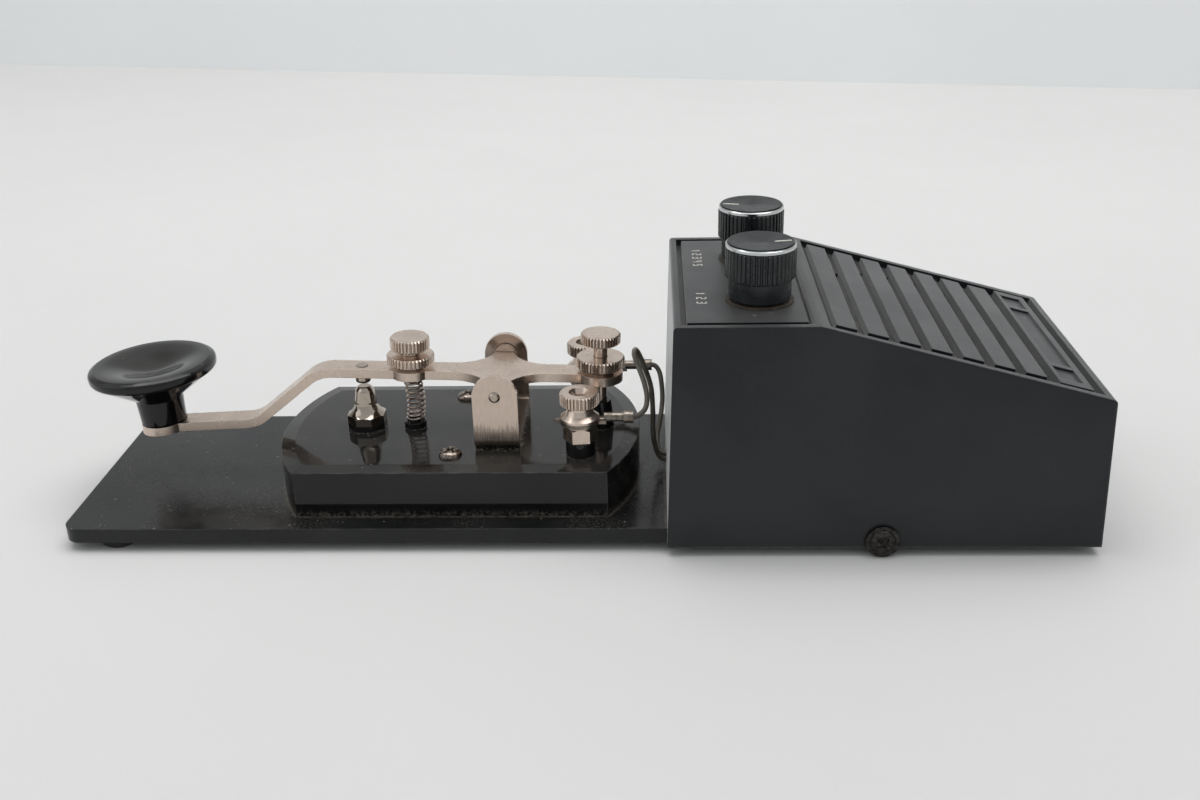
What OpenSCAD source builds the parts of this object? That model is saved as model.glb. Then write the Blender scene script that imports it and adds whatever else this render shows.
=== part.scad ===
// Morse code practice oscillator: a straight key and a tone oscillator on one steel plate.
// The origin is at the middle of the outline, on the surface that the feet stand on.
// +X runs from the key to the case and +Z points up. Millimetres and degrees.

/* [Plate and feet] */
// Length from the free end of the plate to the far wall of the case
overall_l = 216; // [212:1:230]
// Width of the plate
plate_w = 56.7; // [55:0.1:62]
// Thickness of the plate
plate_t = 3.2; // [3:0.1:4.5]
// Corner radius of the plate
plate_r = 3.5; // [1:0.5:6]
// Diameter of a rubber foot
foot_d = 7.9; // [6:0.1:10]
// Height of a rubber foot
foot_h = 2; // [2:0.1:4]
// Distance of the feet from the ends of the plate
foot_end = 10.5; // [7:0.5:16]
// Distance of the feet from the long edges of the plate
foot_side = 4.9; // [4.5:0.1:8]

/* [Case] */
// Length of the case at its foot
case_l = 88.2; // [86:0.2:92]
// Height of the top of the case above the plate
case_h = 44.7; // [43:0.1:48]
// Wall thickness
wall_t = 2.1; // [1.8:0.1:2.6]
// Thickness of the roof
roof_t = 3.2; // [2.8:0.1:3.6]
// Draft of the walls
draft = 1.5; // [0.5:0.1:2]
// Gap between the walls and the edge of the plate
case_gap = 0.25; // [0.15:0.05:0.6]
// Length of the flat part of the top
flat_l = 29.6; // [28.6:0.1:31]
// Fall of the sloping part of the top
slope_a = 15.3; // [13:0.1:16]
// Radius of the edge between the flat and the sloping part
knee_r = 4.5; // [2:0.5:8]
// Radius of the two short upper edges
edge_r = 0.8; // [0.4:0.1:1.2]
// Width of the rim round the top
rim_w = 1.5; // [1.2:0.1:2]
// Depth of the grooves in the top
groove_d = 1.5; // [1:0.1:1.7]
// Width of the groove round the control panel
groove_w = 1.2; // [0.9:0.1:1.5]

/* [Louvre] */
// Number of slats
slat_n = 7; // [4:1:7]
// Width of a slat
slat_w = 4.25; // [3.6:0.05:4.6]
// Distance from slat to slat along the slope
slat_pitch = 6.48; // [6.2:0.02:6.5]
// Distance from the knee to the first slat
slat_start = 3.35; // [3:0.05:3.6]
// Width of the slot through the roof beside a slat
slot_w = 1.2; // [0.8:0.1:1.4]
// Width of the label bar below the slats
bar_w = 7; // [6:0.1:7.2]
// Depth of the pockets in the label bar
pocket_d = 0.5; // [0.3:0.1:0.8]

/* [Controls] */
// Distance of the controls from the middle line
control_y = 13.7; // [12:0.1:15]
// Distance of the controls from the left wall
control_x = 18.9; // [16.5:0.1:19.5]
// Diameter of a control knob
control_d = 14.3; // [12.6:0.1:16]
// Height of a control knob above the panel
control_h = 12.4; // [11.6:0.1:14]
// Number of flutes
control_flutes = 44; // [30:1:50]
// Diameter of a control shaft
shaft_d = 6; // [5:0.1:6.4]
// Outer diameter of the bushing round a shaft
bushing_d = 7.4; // [7.2:0.1:8]
// Diameter of a potentiometer
pot_d = 16.4; // [14:0.1:18]

/* [Key base] */
// Length of the key base
base_l = 79.6; // [78:0.2:84]
// Width of the key base
base_w = 45.8; // [44:0.2:50]
// Height of the key base
base_h = 10.7; // [9:0.1:12]
// Radius of the bowed ends
base_end_r = 43; // [36:1:60]
// Width of the bevel round the top
bevel_w = 3.1; // [1:0.1:4]
// Fall of the bevel
bevel_h = 0.45; // [0.3:0.05:1]
// Gap between the key base and the case
base_gap = 5.8; // [5.6:0.1:8]
// Head diameter of the base screws
base_screw_d = 5.1; // [4.6:0.1:6]
// Distance of the base screws from the middle line
base_screw_y = 15.2; // [14:0.1:17]

/* [Bracket] */
// Distance of the pivot from the case end of the key base
pivot_back = 30.5; // [30:0.1:32]
// Height of the pivot above the key base
pivot_h = 12.3; // [12:0.1:14]
// Width of the bracket along the lever
bracket_w = 9.7; // [8:0.1:11]
// Distance between the outer faces of the ears
bracket_span = 26; // [25.6:0.1:27]
// Thickness of the bracket
bracket_t = 1.2; // [1:0.1:1.4]
// Diameter of a trunnion pin
pin_d = 2.3; // [2:0.1:2.8]
// Radial clearance of everything that turns
run_gap = 0.05; // [0.02:0.01:0.08]

/* [Lever] */
// Width of the lever
lever_w = 5.4; // [5:0.1:6]
// Thickness of the lever
lever_t = 2; // [1.8:0.1:2.2]
// Height of the top of the lever above the pivot, with the key closed
lever_rise = 1.4; // [1.2:0.1:1.6]
// Angle through which the lever rocks
lever_a = 1.7; // [1:0.1:2]
// Reach from the pivot to the centre of the key knob
knob_reach = 76.6; // [74:0.2:77]
// Reach from the pivot to the upper bend
bend_reach = 40; // [39:0.2:42]
// Drop from the upper to the lower part of the lever
lever_drop = 12.6; // [11.6:0.1:13]
// Slant of the part between the bends
slant_a = 40.4; // [36:0.2:46]
// Droop of the lower part, with the key closed
droop_a = 4.4; // [1:0.1:5]
// Bend radius of the lever
lever_bend_r = 8; // [3:0.5:9]
// Radius of the round tab under the key knob
tab_r = 4.9; // [4.2:0.1:5.2]

/* [Contacts and screws] */
// Reach from the pivot to the contacts
contact_reach = 30.6; // [29.6:0.2:31.6]
// Height of the contact post above the key base
post_h = 9.75; // [9.4:0.05:10]
// Diameter of the neck of the contact post
post_d = 4.9; // [4.4:0.1:5.4]
// Height of the pad under the contact post
pad_h = 1.5; // [1:0.1:2]
// Height of the boss under the gap screw
gap_boss_h = 6.1; // [5:0.1:7]
// Reach from the pivot to the spring
spring_reach = 19.8; // [19.6:0.1:21]
// Reach from the pivot to the gap screw
gap_reach = 22; // [21:0.1:22.4]
// Head diameter of the spring screw
spring_head_d = 8.6; // [7.6:0.1:9]
// Head diameter of the gap screw
gap_head_d = 8.7; // [7.6:0.1:9]
// Diameter of the lock nut on the spring screw
spring_nut_d = 10.4; // [9:0.1:10.8]
// Diameter of the lock nut on the gap screw
gap_nut_d = 10.6; // [9:0.1:10.8]

/* [Spring] */
// Outer diameter of the spring
spring_d = 4.2; // [4:0.1:4.6]
// Wire diameter
wire_d = 0.5; // [0.4:0.02:0.52]
// Number of turns
spring_turns = 10; // [6:1:10]

/* [Key knob] */
// Diameter of the key knob
knob_d = 27.6; // [24:0.2:27.8]
// Height of the key knob
knob_h = 14.3; // [12.5:0.1:15]
// Depth of the dish in the key knob
dish_d = 2.4; // [1:0.1:2.8]
// Diameter of the stem at its top
stem_d = 10.4; // [10:0.1:11]

/* [Binding posts] */
// Distance of the binding posts from the middle line
terminal_y = 14.3; // [14:0.1:15]
// Distance of the binding posts from the pivot
terminal_reach = 18.1; // [17:0.1:18.4]
// Diameter of the boss under a binding post
boss_d = 6.4; // [6:0.1:7]
// Height of the boss under a binding post
boss_h = 3.4; // [3:0.1:4]
// Diameter of a terminal stud
stud_d = 3.2; // [3:0.1:3.4]
// Size across the flats of a terminal nut
nut_af = 6.35; // [6:0.05:7]
// Diameter of a thumb nut
thumb_d = 8.4; // [7.6:0.1:8.6]
// Diameter of a lead
lead_d = 1.1; // [0.8:0.05:1.15]

/* [Speaker and battery] */
// Diameter of the speaker
speaker_d = 50; // [46:0.5:50]
// Length of the battery body
battery_l = 46; // [44:0.5:47]

/* [Hidden] */
$fn = 48;

nickel = "#b5ada2";
bright = "#cfc9c0";
bakelite = "#17181a";
plastic = "#33353a";
eps = 0.01;
cut = 1;
seat_gap = 0.03;

// Levels
plate_top = foot_h + plate_t;
base_top = plate_top + base_h;
pivot_z = base_top + pivot_h;
lever_top = pivot_z + lever_rise;
lever_bottom = lever_top - lever_t;
case_top = plate_top + case_h;

// Ends of the case and of the plate
draft_t = tan(draft);
case_x1 = overall_l / 2;
case_x0 = case_x1 - case_l;
knee_x = case_x0 + flat_l;
case_half = plate_w / 2 + case_gap + wall_t / cos(draft) + plate_t * draft_t;
plate_x0 = -overall_l / 2;
plate_x1 = case_x1 - wall_t / cos(draft) - plate_t * draft_t - case_gap;
slope_l = (case_l - flat_l - (case_top - foot_h) * draft_t) / cos(slope_a);
top_half = case_half - (case_top - foot_h) * draft_t;
rim_y = top_half - rim_w;

// Places along the key
base_x1 = case_x0 - base_gap;
base_x0 = base_x1 - base_l;
pivot_x = base_x1 - pivot_back;
post_x = pivot_x - contact_reach;
spring_x = pivot_x - spring_reach;
gap_x = pivot_x + gap_reach;
knob_x = pivot_x - knob_reach;
terminal_x = pivot_x + terminal_reach;
base_screw_back = 9.9;
base_screw_x = pivot_x - base_screw_back;

// Lever: middle plane seen from the front, from its rear end to the tab
lever_mid = lever_top - lever_t / 2;
upper_bend = [pivot_x - bend_reach, lever_mid];
lower_bend = upper_bend - [lever_drop / tan(slant_a), lever_drop];
tab_top = lower_bend.y - (lower_bend.x - knob_x) * tan(droop_a) + lever_t / 2 / cos(droop_a);
eye_front_d = 8.8;
eye_rear_d = 9.9;
arm_half = 1.9;
arm_fillet = 8.5;
lug_gap = 0.3;
lug_r = 2.6;
ear_out = bracket_span / 2;
ear_in = ear_out - bracket_t;
lug_out = ear_in - lug_gap;
rivet_d = 2.5;
contact_d = 3.4;
octagon_d = 8.8;
post_stem_d = 3;
peg_d = 2;
peg_l = 3;

// Thumbscrews
spring_stud_d = spring_d;
gap_stud_d = 3;
tip_drop = 0.2;
tip_pin_d = 2.6;
tip_pin_h = 1.4;
nut_hub_d = 6;
spring_hub_h = 1;
spring_nut_h = 2.1;
spring_head_up = 4.3;
spring_head_h = 2.8;
gap_hub_h = 0.95;
gap_nut_h = 2.4;
gap_head_up = 6.55;
gap_head_h = 2.2;
seat_h = 1.3;
seat_rim = 0.4;

// Heights of the parts at rest, with the lever rocked back by lever_a
function rested(x, z) = [pivot_x + (x - pivot_x) * cos(lever_a) + (z - pivot_z) * sin(lever_a),
    pivot_z - (x - pivot_x) * sin(lever_a) + (z - pivot_z) * cos(lever_a)];
spring_low = base_top + seat_h;
spring_high = rested(spring_x, lever_bottom - tip_drop).y - spring_d / 2 * sin(lever_a) - 0.1;
gap_stop = base_top + gap_boss_h;
gap_tip = pivot_z + (gap_stop + 0.1 - pivot_z + gap_reach * sin(lever_a)) / cos(lever_a);

// Binding posts
hex_h = 3.2;
washer_t = 0.6;
washer_air = 0.02;
lug_t = 0.8;
lug_d = 8.4;
lug_z = base_top + boss_h + hex_h + washer_t;
thumb_foot_h = 3.4;
thumb_h = 6.1;
thumb_mouth_d = stud_d + 1.2;
front_reach = 11.3;
rear_reach = 15.2;
crimp_l = 6.2;
crimp_d = 2;
sleeve_l = 2.1;
sleeve_d = 2.6;
crimp_up = 1.1;

// Side screws and base screws
side_screw_in = 43.9;
side_screw_x = case_x0 + side_screw_in;
side_screw_z = foot_h + plate_t / 2;
side_screw_d = 2.5;
side_head_d = 5.3;
side_head_h = 0.9;
side_bite = 6.5;
side_washer_d = 2 * side_screw_z - 0.2;
side_washer_t = 0.7;
side_face = case_half - (side_screw_z + side_washer_d / 2 - foot_h) * draft_t;
base_shank_d = 3;

// Controls
pot_x = case_x0 + control_x;
roof_under = case_top - roof_t;
bushing_up = 2.4;
pot_h = 6.6;
hub_h = 3.6;
cap_h = 1;
crown_t = 1.6;
pot_floor = 1.5;
fibre_t = 0.4;
knob_lift = 1;

// Louvre, measured along the slope from the knee
groove_end = slope_l - rim_w;
bar_start = groove_end - 2 - bar_w;
speaker_u = speaker_d / 2;
speaker_hole_r = speaker_d / 2 - 4;
speaker_hole_d = 1.8;
speaker_h = 9;
basket_r = 10;
basket_t = 0.8;
surround_t = 0.5;
rim_in = 2.9;

// Board, battery and jacks
battery_w = 26;
battery_h = 17.5;
clip_t = 0.6;
snap_t = 3.2;
wall_air = 0.5;
battery_x = plate_x1 - wall_air - clip_t - battery_w / 2;
battery_y = -snap_t / 2;
board_x0 = case_x0 + 6.2;
board_x1 = battery_x - battery_w / 2 - clip_t - 3.8;
board_w = 46;
board_t = 1.6;
board_hole_d = 2.5;
standoff_h = 5;
board_z = plate_top + standoff_h;
board_top = board_z + board_t;
board_inset = 4;
chip_in = 20;
capacitor_h = 11;
jack_up = 18.8;
jack_z = plate_top + jack_up;
jack_half = 5;
phones_in = 16.2;
phones_x = case_x0 + phones_in;
phones_l = 12;
power_x = phones_x + 22;
power_l = 10;
phones_bore_d = 3.6;
phones_bush_d = 6;
phones_nut_d = 8.6;
power_bore_d = 5.6;
power_bush_d = 8;
power_flange_d = 10.4;
jack_nut_t = 1.1;
jack_face = case_half - (jack_z + power_flange_d / 2 - foot_h) * draft_t;
jack_inner = case_half - wall_t / cos(draft) - (jack_z + jack_half - foot_h) * draft_t - 0.06;

// Leads: routes from the crimps through the hole in the wall to the board
hole_z = plate_top + 2.4;
hole_r = 1.5;
lead_y = 1.5;
lead_z = lug_z + crimp_up;
front_route = [[terminal_x + 8.2, -terminal_y, lead_z], [terminal_x + 11.5, -terminal_y, lead_z],
    [15.2, -14, 25.6], [15.8, -13.4, 28], [15.2, -12.6, 31.4], [14.2, -11.8, 35.2],
    [13.7, -11.3, 37.5], [14.2, -10.7, 38.5], [15, -9.8, 37.4], [15.6, -8.4, 33],
    [16.6, -6.7, 27.8], [17, -5.1, 21.5], [17, -3.5, 15.8], [17.6, -2, 10.8], [18.8, -1.6, 8.2],
    [20.8, -1.5, 7.6], [23, -1.5, 8.2], [24.6, -1.5, 10.6], [26, -1.5, 13.2], [27.8, -1.5, 14],
    [29, -1.5, 13], [29, -1.5, 11.8]];
rear_route = [[terminal_x + 11.8, terminal_y, lead_z], [terminal_x + 15.4, terminal_y, lead_z],
    [18.4, 13.7, 23], [19, 12.3, 20.6], [19.2, 10.6, 17.4], [18.8, 8, 14.2], [18, 5.4, 10.9],
    [18, 3.1, 8.8], [19.2, 1.7, 7.7], [21.2, 1.5, 7.6], [23.2, 1.5, 8.4], [24.6, 1.5, 10.6],
    [26, 1.5, 13.2], [27.8, 1.5, 14], [29, 1.5, 13], [29, 1.5, 11.8]];

// Outlines
function unit(v) = v / norm(v);
function left_of(v) = [-unit(v).y, unit(v).x];
function turned(v, a) = [v.x * cos(a) - v.y * sin(a), v.x * sin(a) + v.y * cos(a)];

// Points of the arc of radius r that rounds the corner b between a and c, moved off to the left
function corner(a, b, c, r, off = 0, steps = 6) =
    let (u = unit(b - a), w = unit(c - b), angle = atan2(cross(u, w), u * w), side = sign(angle),
        start = b - u * r * tan(abs(angle) / 2), centre = start + left_of(u) * r * side)
    [for (i = [0 : steps]) centre + turned(-left_of(u) * (r * side - off), angle * i / steps)];

// Closed outline with each corner rounded by its own radius
function rounded(p, r) = let (n = len(p))
    [for (i = [0 : n - 1]) each r[i] > 0 ? corner(p[(i + n - 1) % n], p[i], p[(i + 1) % n], r[i]) : [p[i]]];

// One edge of a bent strip, off to the left of its middle line
function strip_edge(p, r, off) = let (n = len(p) - 1)
    [p[0] + left_of(p[1] - p[0]) * off,
        for (i = [1 : n - 1]) each corner(p[i - 1], p[i], p[i + 1], r, off),
        p[n] + left_of(p[n] - p[n - 1]) * off];
function reversed(p) = [for (i = [len(p) - 1 : -1 : 0]) p[i]];
function strip(p, r, t) = concat(strip_edge(p, r, t / 2), reversed(strip_edge(p, r, -t / 2)));

// Toothed outline: each tooth has a flat land and each gap a flat root
function toothed(d, n, depth) = [for (i = [0 : n - 1]) for (k = [0 : 3])
    let (r = k < 2 ? d / 2 : d / 2 - depth, a = (i + [0, 0.35, 0.55, 0.8][k]) * 360 / n)
    r * [cos(a), sin(a)]];

// Case seen from the front, drawn in by side at the walls and by top at the roof
function case_front(side, top, low) = let (
        k = side / cos(draft), s = tan(slope_a), r = top / cos(slope_a),
        x1 = (case_x1 - (case_top - foot_h - r) * draft_t - knee_x * s * draft_t - k) / (1 - s * draft_t))
    [[case_x0 + k - low * draft_t, foot_h - low], [case_x1 - k + low * draft_t, foot_h - low],
        [x1, case_top - r - (x1 - knee_x) * s], [knee_x - top * tan(slope_a / 2), case_top - top],
        [case_x0 + (case_top - top - foot_h) * draft_t + k, case_top - top]];
// Case seen from its end
function case_end(side, low) = let (
        half = case_half - side / cos(draft), h = case_top - foot_h)
    [[half + low * draft_t, foot_h - low], [half - (h + cut) * draft_t, case_top + cut],
        [-half + (h + cut) * draft_t, case_top + cut], [-half - low * draft_t, foot_h - low]];

// Swept tubes
function lerp_point(p, i, t) = let (n = len(p) - 1, a = p[max(i - 1, 0)], b = p[i], c = p[i + 1],
        d = p[min(i + 2, n)], straight = i == 0 || i == n - 1)
    straight ? b + (c - b) * t
        : 0.5 * (2 * b + (c - a) * t + (2 * a - 5 * b + 4 * c - d) * t * t
            + (3 * b - a - 3 * c + d) * t * t * t);
function smooth_route(p, step) = [for (i = [0 : len(p) - 2])
        let (k = max(1, ceil(norm(p[i + 1] - p[i]) / step))) for (j = [0 : k - 1]) lerp_point(p, i, j / k),
    p[len(p) - 1]];
function heading(p, i) = let (n = len(p) - 1)
    unit(unit(i == n ? p[n] - p[n - 1] : p[i + 1] - p[i]) + unit(i == 0 ? p[1] - p[0] : p[i] - p[i - 1]));

// Tube of radius r along the points p, each ring laid out from its own reference direction
module tube(p, refs, r, sides) {
    n = len(p);
    rings = [for (i = [0 : n - 1]) let (t = heading(p, i), a = unit(cross(t, refs[i])), b = cross(t, a))
        for (k = [0 : sides - 1]) p[i] + r * (a * cos(k * 360 / sides) + b * sin(k * 360 / sides))];
    walls = [for (i = [0 : n - 2]) for (k = [0 : sides - 1])
        let (q = (k + 1) % sides, s = i * sides) each [[s + k, s + q, s + sides + k],
            [s + q, s + sides + q, s + sides + k]]];
    ends = [for (k = [1 : sides - 2]) each [[0, k + 1, k],
        [(n - 1) * sides, (n - 1) * sides + k, (n - 1) * sides + k + 1]]];
    polyhedron(rings, concat(walls, ends));
}

module lead(route) {
    p = smooth_route(route, 3);
    tube(p, [for (q = p) [0, 1, 0]], lead_d / 2, 8);
}

// Plain helpers
module slab(x0, x1, y0, y1, z0, z1) {
    translate([x0, y0, z0]) cube([x1 - x0, y1 - y0, z1 - z0]);
}

module rod(x, y, z0, z1, d) {
    translate([x, y, z0]) cylinder(d = d, h = z1 - z0);
}

module rod_y(x, y0, y1, z, d) {
    translate([x, y0, z]) rotate([-90, 0, 0]) cylinder(d = d, h = y1 - y0);
}

module both_sides() {
    children();
    mirror([0, 1, 0]) children();
}

module rounded_rect(l, w, r) {
    translate([r, -w / 2]) square([l - 2 * r, w]);
    translate([0, r - w / 2]) square([l, w - 2 * r]);
    for (x = [r, l - r]) for (y = [r - w / 2, w / 2 - r]) translate([x, y]) circle(r);
}

// Domed screw head of diameter d and height h with a cross recess
module domed_head(d, h) {
    edge = h * 0.35;
    dome = ((d / 2) ^ 2 + (h - edge) ^ 2) / (2 * (h - edge));
    slot_l = d * 0.56;
    slot_w = d * 0.12;
    difference() {
        rotate_extrude() intersection() {
            square([d / 2, h]);
            union() {
                square([d / 2, edge]);
                translate([0, h - dome]) circle(dome, $fn = 96);
            }
        }
        for (a = [0, 90]) rotate(a) translate([-slot_l / 2, -slot_w / 2, h * 0.45]) cube([slot_l, slot_w, h]);
    }
}

// Toothed disc with both rims broken by a small chamfer
module knurled(d, h, teeth, depth, chamfer) {
    intersection() {
        linear_extrude(h) polygon(toothed(d, teeth, depth));
        rotate_extrude() polygon([[0, 0], [d / 2 - chamfer, 0], [d / 2 + eps, chamfer + eps],
            [d / 2 + eps, h - chamfer - eps], [d / 2 - chamfer, h], [0, h]]);
    }
}

module hexagon_nut(af, h, hole) {
    d = af / cos(30);
    difference() {
        intersection() {
            cylinder(d = d, h = h, $fn = 6);
            rotate_extrude() polygon([[0, 0], [d / 2, 0], [d / 2, h - 0.5], [af / 2, h], [0, h]]);
        }
        translate([0, 0, -cut]) cylinder(d = hole, h = h + 2 * cut);
    }
}

// Rocks what the lever carries back to its rest position
module at_rest() {
    translate([pivot_x, 0, pivot_z]) rotate([0, lever_a, 0]) translate([-pivot_x, 0, -pivot_z]) children();
}

// Frame of the tab, with its top face at z = 0
module at_tab() {
    translate([knob_x, 0, tab_top]) rotate([0, -droop_a, 0]) children();
}

// Frame of the sloping top, with x down the slope from the knee and z out of the roof
module on_slope() {
    translate([knee_x, 0, case_top]) rotate([0, slope_a, 0]) children();
}

// Plate and feet
module base_plate() {
    color("#3a3b3d") difference() {
        translate([plate_x0, 0, foot_h]) linear_extrude(plate_t)
            rounded_rect(plate_x1 - plate_x0, plate_w, plate_r);
        both_sides() {
            rod(base_screw_x, base_screw_y, foot_h - cut, plate_top + cut, base_shank_d);
            rod_y(side_screw_x, plate_w / 2 - side_bite - 0.5, plate_w / 2 + cut, side_screw_z, side_screw_d);
        }
        board_holes() rod(0, 0, foot_h - cut, plate_top + cut, board_hole_d);
    }
}

module rubber_feet() {
    color("#222222") both_sides() for (x = [plate_x0 + foot_end, plate_x1 - foot_end])
        translate([x, plate_w / 2 - foot_side, 0]) rotate_extrude() polygon([[0, 0], [foot_d / 2 - 0.4, 0],
            [foot_d / 2, 0.4], [foot_d / 2, foot_h], [0, foot_h]]);
}

// Case
module case_block(side, top, radii, low) {
    intersection() {
        translate([0, case_half + cut, 0]) rotate([90, 0, 0]) linear_extrude(2 * (case_half + cut))
            polygon(rounded(case_front(side, top, low), radii));
        translate([case_x0 - cut, 0, 0]) rotate([90, 0, 90]) linear_extrude(case_l + 2 * cut)
            polygon(case_end(side, low));
    }
}

module panel_groove() {
    x0 = case_x0 + (case_top - foot_h) * draft_t + rim_w;
    x1 = knee_x - 1.2;
    difference() {
        slab(x0, x1, -rim_y, rim_y, case_top - groove_d, case_top + cut);
        slab(x0 + groove_w, x1 - groove_w + 0.2, -rim_y + groove_w, rim_y - groove_w,
            case_top - groove_d - cut, case_top + 2 * cut);
    }
}

module louvre_grooves() {
    end_gap = 1.9;
    pocket_side = 0.9;
    outer = rim_y - 3.5;
    inner = outer - 6.6;
    middle = inner - 1.6;
    on_slope() difference() {
        slab(1.9, groove_end, -rim_y, rim_y, -groove_d, 2 * cut);
        for (i = [0 : slat_n - 1]) slab(slat_start + i * slat_pitch, slat_start + i * slat_pitch + slat_w,
            -rim_y + end_gap, rim_y - end_gap, -groove_d - cut, 3 * cut);
        slab(bar_start, bar_start + bar_w, -rim_y + end_gap / 2, rim_y - end_gap / 2,
            -groove_d - cut, 3 * cut);
    }
    on_slope() for (y = [[-outer, -inner], [-middle, middle], [inner, outer]])
        slab(bar_start + pocket_side, bar_start + bar_w - 1.5, y[0], y[1], -pocket_d, cut);
}

module speaker_slots() {
    on_slope() for (i = [1 : slat_n - 1]) {
        u = slat_start + i * slat_pitch - slot_w - 0.2;
        half = sqrt(speaker_hole_r ^ 2 - (u + slot_w / 2 - speaker_u) ^ 2);
        slab(u, u + slot_w, -half, half, -roof_t - cut, 0);
    }
}

module case_shell() {
    plate_half = plate_w / 2 + case_gap;
    color(plastic) difference() {
        case_block(0, 0, [0, 0, edge_r, knee_r, edge_r], 0);
        case_block(wall_t, roof_t, [0, 0, 0, 0, 0], cut);
        slab(case_x0 - cut, case_x0 + wall_t + 3 * cut, -plate_half, plate_half, 0, plate_top);
        panel_groove();
        louvre_grooves();
        speaker_slots();
        both_sides() {
            rod(pot_x, control_y, roof_under - cut, case_top + cut, bushing_d + 0.2);
            rod_y(side_screw_x, plate_w / 2, case_half + cut, side_screw_z, side_screw_d + 0.4);
            rod_y(side_screw_x, side_face, case_half + cut, side_screw_z, side_washer_d + 0.4);
        }
        for (y = [-lead_y, lead_y]) translate([case_x0 - cut, y, hole_z]) rotate([0, 90, 0])
            cylinder(r = hole_r, h = wall_t + 3 * cut);
        slab(case_x0 - cut, case_x0 + wall_t + 2 * cut, -lead_y, lead_y, hole_z - hole_r, hole_z + hole_r);
        rod_y(phones_x, case_half - wall_t - 3, case_half + cut, jack_z, phones_bush_d + 0.2);
        rod_y(phones_x, jack_face, case_half + cut, jack_z, phones_nut_d + 0.6);
        rod_y(power_x, case_half - wall_t - 3, case_half + cut, jack_z, power_bush_d + 0.2);
        rod_y(power_x, jack_face, case_half + cut, jack_z, power_flange_d + 0.6);
    }
}

module side_washers() {
    color(nickel) both_sides() difference() {
        rod_y(side_screw_x, side_face, side_face + side_washer_t, side_screw_z, side_washer_d);
        rod_y(side_screw_x, side_face - cut, side_face + cut, side_screw_z, side_screw_d + 0.3);
    }
}

module side_screws() {
    seat = side_face + side_washer_t;
    color(nickel) both_sides() {
        rod_y(side_screw_x, plate_w / 2 - side_bite, seat + eps, side_screw_z, side_screw_d);
        translate([side_screw_x, seat, side_screw_z]) rotate([-90, 0, 0])
            domed_head(side_head_d, side_head_h);
    }
}

// Key base
module bowed_end(x) {
    rod(x, 0, plate_top, base_top - bevel_h, 2 * base_end_r);
    translate([x, 0, base_top - bevel_h]) cylinder(r1 = base_end_r, r2 = base_end_r - bevel_w, h = bevel_h);
}

module key_base() {
    half = base_w / 2;
    color(bakelite) difference() {
        intersection() {
            translate([base_x0 - cut, 0, plate_top]) rotate([90, 0, 90]) linear_extrude(base_l + 2 * cut)
                polygon([[-half, 0], [half, 0], [half, base_h - bevel_h], [half - bevel_w, base_h],
                    [bevel_w - half, base_h], [-half, base_h - bevel_h]]);
            bowed_end(base_x0 + base_end_r, $fn = 96);
            bowed_end(base_x1 - base_end_r, $fn = 96);
        }
        both_sides() {
            rod(base_screw_x, base_screw_y, plate_top - cut, base_top + cut, base_shank_d + 0.3);
            rod(terminal_x, terminal_y, plate_top + 1.5, base_top + cut, stud_d);
        }
        for (x = [pivot_x, post_x]) rod(x, 0, plate_top + 2, base_top + cut, post_stem_d);
        for (x = [spring_x, gap_x]) rod(x, 0, base_top - peg_l, base_top + cut, peg_d);
    }
}

module base_screws() {
    color(nickel) both_sides() translate([base_screw_x, base_screw_y, base_top]) {
        domed_head(base_screw_d, 1.9);
        translate([0, 0, foot_h + 0.2 - base_top]) cylinder(d = base_shank_d, h = base_top - foot_h - 0.2);
    }
}

// Bracket that carries the lever
module trunnion_bracket() {
    mid = ear_out - bracket_t / 2;
    color(nickel) difference() {
        intersection() {
            translate([pivot_x - bracket_w / 2, 0, base_top]) rotate([90, 0, 90]) linear_extrude(bracket_w)
                polygon(strip([[-mid, pivot_h + bracket_w], [-mid, bracket_t / 2], [mid, bracket_t / 2],
                    [mid, pivot_h + bracket_w]], 1.5, bracket_t));
            union() {
                slab(pivot_x - bracket_w / 2, pivot_x + bracket_w / 2, -ear_out, ear_out, base_top, pivot_z);
                rod_y(pivot_x, -ear_out, ear_out, pivot_z, bracket_w);
            }
        }
        rod_y(pivot_x, -ear_out - cut, ear_out + cut, pivot_z, pin_d + 2 * run_gap);
        rod(pivot_x, 0, base_top - cut, base_top + bracket_t + cut, 3.2);
    }
}

module bracket_screw() {
    color(nickel) translate([pivot_x, 0, base_top + bracket_t]) {
        domed_head(5.6, 2);
        translate([0, 0, 2.3 - base_h - bracket_t]) cylinder(d = 3, h = base_h + bracket_t - 2.3);
    }
}

// Lever, drawn with the key closed
module lever_plan() {
    slab_l = gap_x - knob_x;
    translate([knob_x, -lever_w / 2]) square([slab_l, lever_w]);
    translate([knob_x, 0]) circle(tab_r);
    translate([spring_x, 0]) circle(d = eye_front_d);
    translate([gap_x, 0]) circle(d = eye_rear_d);
    cross_plan();
}

module cross_plan() {
    reach = lever_w / 2 + arm_fillet;
    translate([pivot_x, 0]) difference() {
        square([2 * (arm_half + arm_fillet), 2 * lug_out], center = true);
        for (sx = [-1, 1]) for (sy = [-1, 1]) translate([sx * (arm_half + arm_fillet), sy * reach]) {
            circle(arm_fillet);
            translate([-arm_fillet, sy > 0 ? 0 : -lug_out]) square([2 * arm_fillet, lug_out]);
        }
    }
}

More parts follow.
